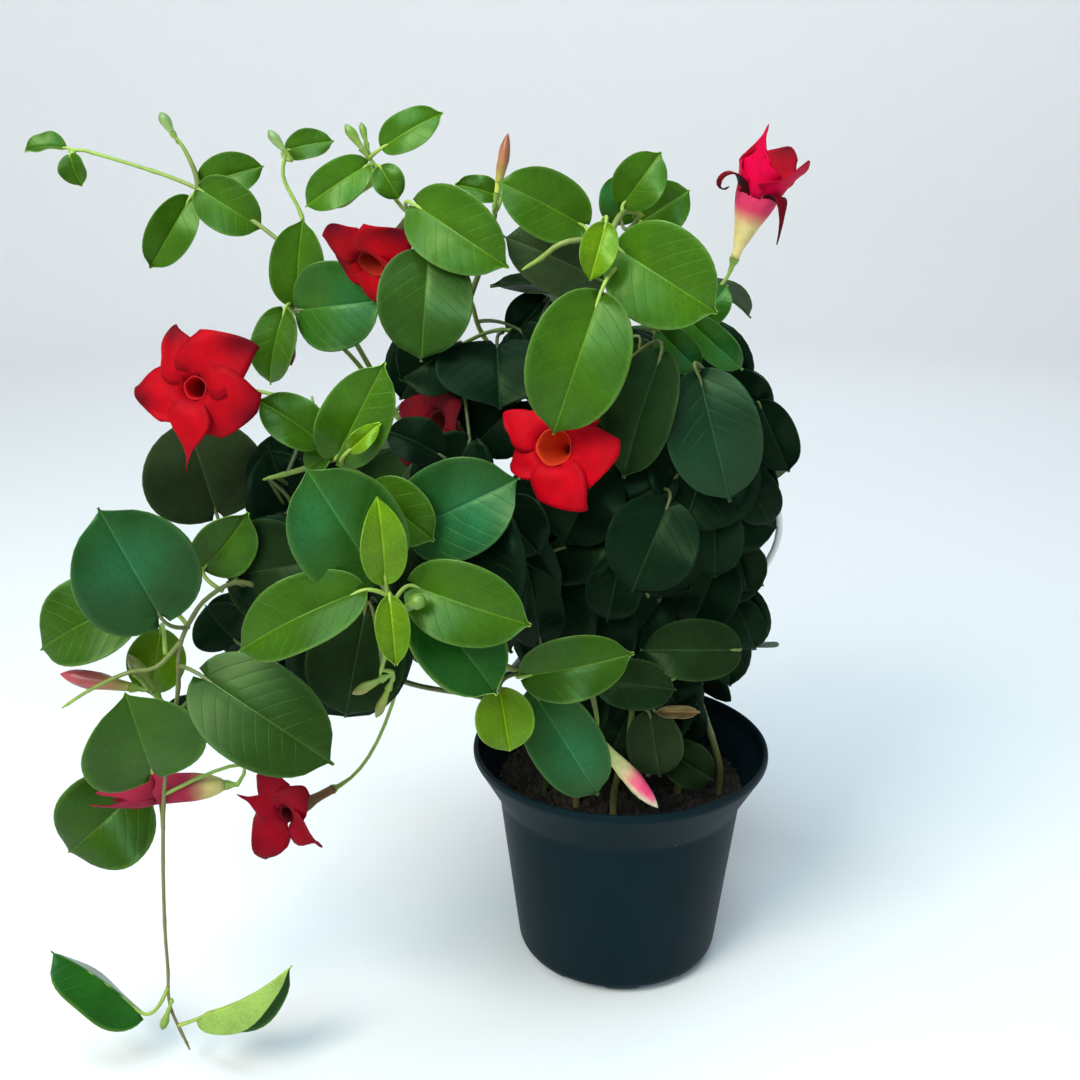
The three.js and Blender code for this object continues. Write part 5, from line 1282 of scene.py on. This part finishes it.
draw = drawer(flowerLook["seed"])
for end in [end for vine in grown.values() for end in vine["ends"]]:
    flower = end["kind"] == "flower"
    look = (flowerLook if flower else budLook)["colours"]
    colours = [linear(c) for c in look.get(end["title"], look["usual"])]
    if flower:
        usual = [(72 * k, end["radius"] - 4, 12, 88 * end["opening"], 6, 0.5, 0.7) for k in range(bloom["petals"])]
        mouth = flowerLook["mouths"].get(end["title"], flowerLook["mouth"])
        parts = [throatPart(end, mouth, colours)]
        parts += [petalPart(end, plan, mouth, colours, draw) for plan in flowerLook["petals"].get(end["title"], usual)]
    else:
        parts = [budPart(end, colours)]
    for part in parts:
        part["points"] = placedBy(end["place"], part["points"])
    piece(end["title"] + "_fine", parts, [petalSkin if flower else budSkin], [end["title"]])
print("flowers and buds made")


# Pot and soil
potLook = {"rim": growth["potRim"], "height": growth["potHeight"], "neck": 70, "neckHeight": 101, "foot": 59,
           "corner": 11, "wall": 2, "floor": 4, "around": 192, "rounding": 2.2, "edge": 2.6,
           "notches": 8, "notchWidth": 26, "notchHeight": 5.4, "notchSlope": 1.5, "notchFrom": 50}
soilLook = {"around": 128, "rings": 44, "lump": 2.2, "crumb": 1.6, "calm": 12}  # calm: flatter this near the wall


def turnedPart(profile, around):  # a closed turned shape; the profile runs from the axis to the axis
    r, z = np.array(profile).T
    rings = ringPoints(r[1:-1, None], circle(around), z[1:-1, None])
    points = np.concatenate([[[0, 0, z[0]]], rings, [[0, 0, z[-1]]]])
    last = len(points) - 1
    faces = [(0, 1 + (j + 1) % around, 1 + j) for j in range(around)] + bands(len(r) - 2, around, 1)
    faces += [(last - around + j, last - around + (j + 1) % around, last) for j in range(around)]
    return {"points": points, "faces": faces, "tints": np.ones((len(points), 3))}


def softened(profile, radius, steps=4):  # rounds the corners of a profile
    points = [np.array(p, float) for p in profile]
    rounded = [points[0]]
    for a, b, c in zip(points[:-2], points[1:-1], points[2:]):
        cut = min(radius, 0.45 * np.linalg.norm(b - a), 0.45 * np.linalg.norm(c - b))
        rounded += list(bezier((b + unit(a - b) * cut, b, b + unit(c - b) * cut), np.linspace(0, 1, steps + 1)))
    return rounded + [points[-1]]


def potPart():
    p = potLook
    bend = [(p["foot"] - p["corner"] + p["corner"] * math.sin(k), p["corner"] - p["corner"] * math.cos(k))
            for k in np.linspace(0, math.pi / 2, 7)]
    outside = [(0, 0), (30, 0), (44, 0), *bend, (p["neck"] - 0.6, p["neckHeight"] - 5), (p["neck"], p["neckHeight"]),
               (p["neck"] + 3.5, p["neckHeight"] + 6), (p["rim"] - 3, p["height"] - 9), (p["rim"], p["height"] - 4),
               (p["rim"] - 0.6, p["height"])]
    inside = [(p["rim"] - p["wall"] - 1, p["height"] - 0.6), (p["rim"] - p["wall"] - 2.6, p["height"] - 9),
              (p["neck"] - p["wall"] + p["edge"], growth["soilTop"]), (p["neck"] - p["wall"], p["neckHeight"] - 1),
              (p["foot"] - p["wall"], p["corner"] + 3), (p["foot"] - p["wall"] - 6, p["floor"]), (0, p["floor"])]
    part = turnedPart(softened(outside + inside, p["rounding"]), p["around"])
    x, y, z = part["points"].T
    step = 2 * math.pi / p["notches"]
    aside = np.abs((np.arctan2(y, x) / step) % 1 - 0.5) * step * np.hypot(x, y)
    half, slope = p["notchWidth"] / 2, p["notchSlope"]
    cut = eased(half + slope, half - slope, aside) * eased(p["notchFrom"], p["notchFrom"] + 3, np.hypot(x, y))
    part["points"][:, 2] = np.where(z < p["notchHeight"], np.maximum(z, p["notchHeight"] * cut), z)
    return part


def soilPart():
    p, top = potLook, growth["soilTop"]
    slack = p["wall"] + growth["gap"]
    edge = p["neck"] - slack + p["edge"]
    floor = p["floor"] + growth["gap"]
    profile = [(0, floor), (p["foot"] - slack - 6, floor), (p["foot"] - slack, p["corner"] + 3),
               (p["neck"] - slack, p["neckHeight"] - 1), (edge, top)]
    profile += [(r, top) for r in np.linspace(edge - 1, 1, soilLook["rings"])] + [(0, top)]
    part = turnedPart(profile, soilLook["around"])
    for point in part["points"]:
        x, y, z = point
        away = math.hypot(x, y)
        if z > top - 0.01 and away < edge - 0.5:
            lumps = math.sin(0.23 * x + 1.3) * math.sin(0.19 * y) + 0.6 * math.sin(0.41 * x - 0.33 * y)
            fine = noise.fractal(Vector((x, y, 3)) * 0.14, 0.6, 2.1, 4)
            point[2] += (soilLook["lump"] * lumps + soilLook["crumb"] * fine) * min(1, (edge - away) / soilLook["calm"])
    return part


# The pot: thermoformed polypropylene, dark blue green. Its satin skin has a faint grain and a bluish sheen; the
# grain is drawn at 1 mm, coarser than the real one, so that it shows.
potSkin = cloudedMaterial(
    "thermoformed polypropylene", ("#0A181C", "#0E2228"), (45.45, 4.0),
    {"Roughness": 0.46, "IOR": 1.49, "Specular IOR Level": 0.07, "Specular Tint": "#BFE0F0"},
    (1.111, 3.0), (0.15, 0.2))
piece("pot_fine", [potPart()], [potSkin], ["pot"])

# The soil: bark compost with loam; dull and crumbly.
soilSkin = cloudedMaterial("damp bark compost", ("#0C0806", "#2E231A"), (3.846, 8.0, 0.7), {"Roughness": 0.95},
                           relief=(0.9, 1.5))
soilThing = piece("soil_fine", [soilPart()], [soilSkin], ["soil"])


# Crumbs and bits of bark that lie on the soil.
def crumbTree():
    tree, given, names = startTree("bark bits on soil", {
        "Bits per square metre": "Float", "Smallest": "Float", "Largest": "Float", "Lowest place": "Float",
        "Seed": "Int"})
    seed = given.outputs["Seed"]
    height = addNode(tree, "ShaderNodeSeparateXYZ", {0: addNode(tree, "GeometryNodeInputNormal")})
    place = addNode(tree, "ShaderNodeSeparateXYZ", {0: addNode(tree, "GeometryNodeInputPosition")})
    upward = addNode(tree, "FunctionNodeCompare", {0: height.outputs[2], 1: 0.3}, operation="GREATER_THAN")
    high = addNode(tree, "FunctionNodeCompare", {0: place.outputs[2], 1: given.outputs["Lowest place"]},
                   operation="GREATER_THAN")
    top = addNode(tree, "FunctionNodeBooleanMath", {0: upward, 1: high}, operation="AND")
    points = addNode(tree, "GeometryNodeDistributePointsOnFaces", {
        "Mesh": given.outputs["Geometry"], "Selection": top, "Density": given.outputs["Bits per square metre"],
        "Seed": seed})
    bit = addNode(tree, "GeometryNodeMeshIcoSphere", {"Radius": 1.0, "Subdivisions": 1})
    turn = addNode(tree, "FunctionNodeRandomValue", {1: (6.28, 6.28, 6.28), "Seed": seed}, data_type="FLOAT_VECTOR")
    size = addNode(tree, "FunctionNodeRandomValue", {
        2: given.outputs["Smallest"], 3: given.outputs["Largest"], "Seed": seed}, data_type="FLOAT").outputs[1]
    flat = addNode(tree, "ShaderNodeVectorMath", {0: (1.5, 0.9, 0.5), "Scale": size}, operation="SCALE")
    endTree(tree, given, addNode(tree, "GeometryNodeInstanceOnPoints", {
        "Points": points, "Instance": bit, "Rotation": turn, "Scale": flat}))
    return tree, names


crumbs = {"Bits per square metre": 90000.0, "Smallest": 0.7 * mm, "Largest": 2.4 * mm, "Lowest place": 98 * mm,
          "Seed": 4}
# Broken bark: dull flat bits, brown with paler ones.
barkSkin = cloudedMaterial("broken pine bark", ("#120C08", "#4A3A29"), (5.556, 2.0), {"Roughness": 0.9})
barkBits = applied(added("bark_bits", soilThing.data.copy()), *crumbTree(), {**crumbs, "Material": barkSkin})
fitted(barkBits, ["soil"])
print("pot and soil made:", len(barkBits.data.polygons), "bark faces")


# Floor, light and camera, in metres. The floor is a wide round that bends up into a wall.
floorLook = {"flat": 2.2, "bend": 0.8, "height": 3.2, "around": 96, "colour": "#E9EAEC", "roughness": 0.9}
airLook = {"colour": "#F2F5F8", "strength": 0.1}
flat, bend, around = floorLook["flat"], floorLook["bend"], floorLook["around"]
rises = [(flat + bend * math.sin(k), bend - bend * math.cos(k)) for k in np.linspace(0.15, math.pi / 2, 10)]
r, z = np.array([(1, 0), (flat, 0), *rises, (flat + bend, floorLook["height"])]).T
floorPoints = [[0, 0, 0], *ringPoints(r[:, None], circle(around), z[:, None]).tolist()]
floorFaces = [(0, 1 + j, 1 + (j + 1) % around) for j in range(around)]
floorFaces += [(a, d, c, b) for a, b, c, d in bands(len(r), around, 1)]
floorMesh = bpy.data.meshes.new("floor")
floorMesh.from_pydata(floorPoints, [], floorFaces)
floorMesh.polygons.foreach_set("use_smooth", [True] * len(floorFaces))
floorMesh.materials.append(plainMaterial("pale matt floor", floorLook["colour"], floorLook["roughness"]))
floor = added("floor", floorMesh)

lights = {  # name: place, what it points at, width and height, power, colour
    "key": ((-1.1, -1.3, 1.7), (-0.08, 0, 0.28), (0.9, 0.9), 40, "#FFF8EA"),
    "window": ((-0.45, -1.5, 1.15), (-0.1, 0, 0.3), (0.7, 0.45), 9, "#B8E8F4"),
    "sky": ((-0.25, -0.35, 1.7), (-0.08, 0, 0.3), (1.5, 0.8), 24, "#D2ECF6"),
    "back": ((0.7, 1.5, 1.6), (-0.05, 0, 0.3), (1.4, 1.0), 8, "#E6F0FF"),
    "fill": ((1.7, -1.2, 0.9), (-0.05, 0, 0.25), (1.2, 1.4), 1.5, "#F2F6FF"),
    "wall": ((0, 1.7, 1.9), (0, 3, 0.9), (2.4, 0.4), 14, "#F4F6F8"),
}
for name, (place, aim, size, power, colour) in lights.items():
    lamp = bpy.data.lights.new(name, "AREA")
    lamp.shape = "RECTANGLE"
    lamp.size, lamp.size_y = size
    lamp.energy = power
    lamp.color = linear(colour)
    thing = added(name, lamp)
    thing.location = place
    thing.rotation_euler = (Vector(aim) - Vector(place)).to_track_quat("-Z", "Y").to_euler()

world = bpy.data.worlds.new("studio")
world.use_nodes = True
background = world.node_tree.nodes["Background"].inputs
background["Color"].default_value = (*linear(airLook["colour"]), 1)
background["Strength"].default_value = airLook["strength"]
bpy.context.scene.world = world
bpy.context.scene.view_settings.view_transform = "Standard"  # keeps reds and greens as deep as their paint

camera = added("camera", bpy.data.cameras.new("camera"))
camera.data.lens = eye["lens"]
camera.data.sensor_width = eye["sensor"]
camera.location = eye["place"] * mm
camera.rotation_euler = (math.radians(90 - eye["pitch"]), 0, 0)
bpy.context.scene.camera = camera
print("stage made")
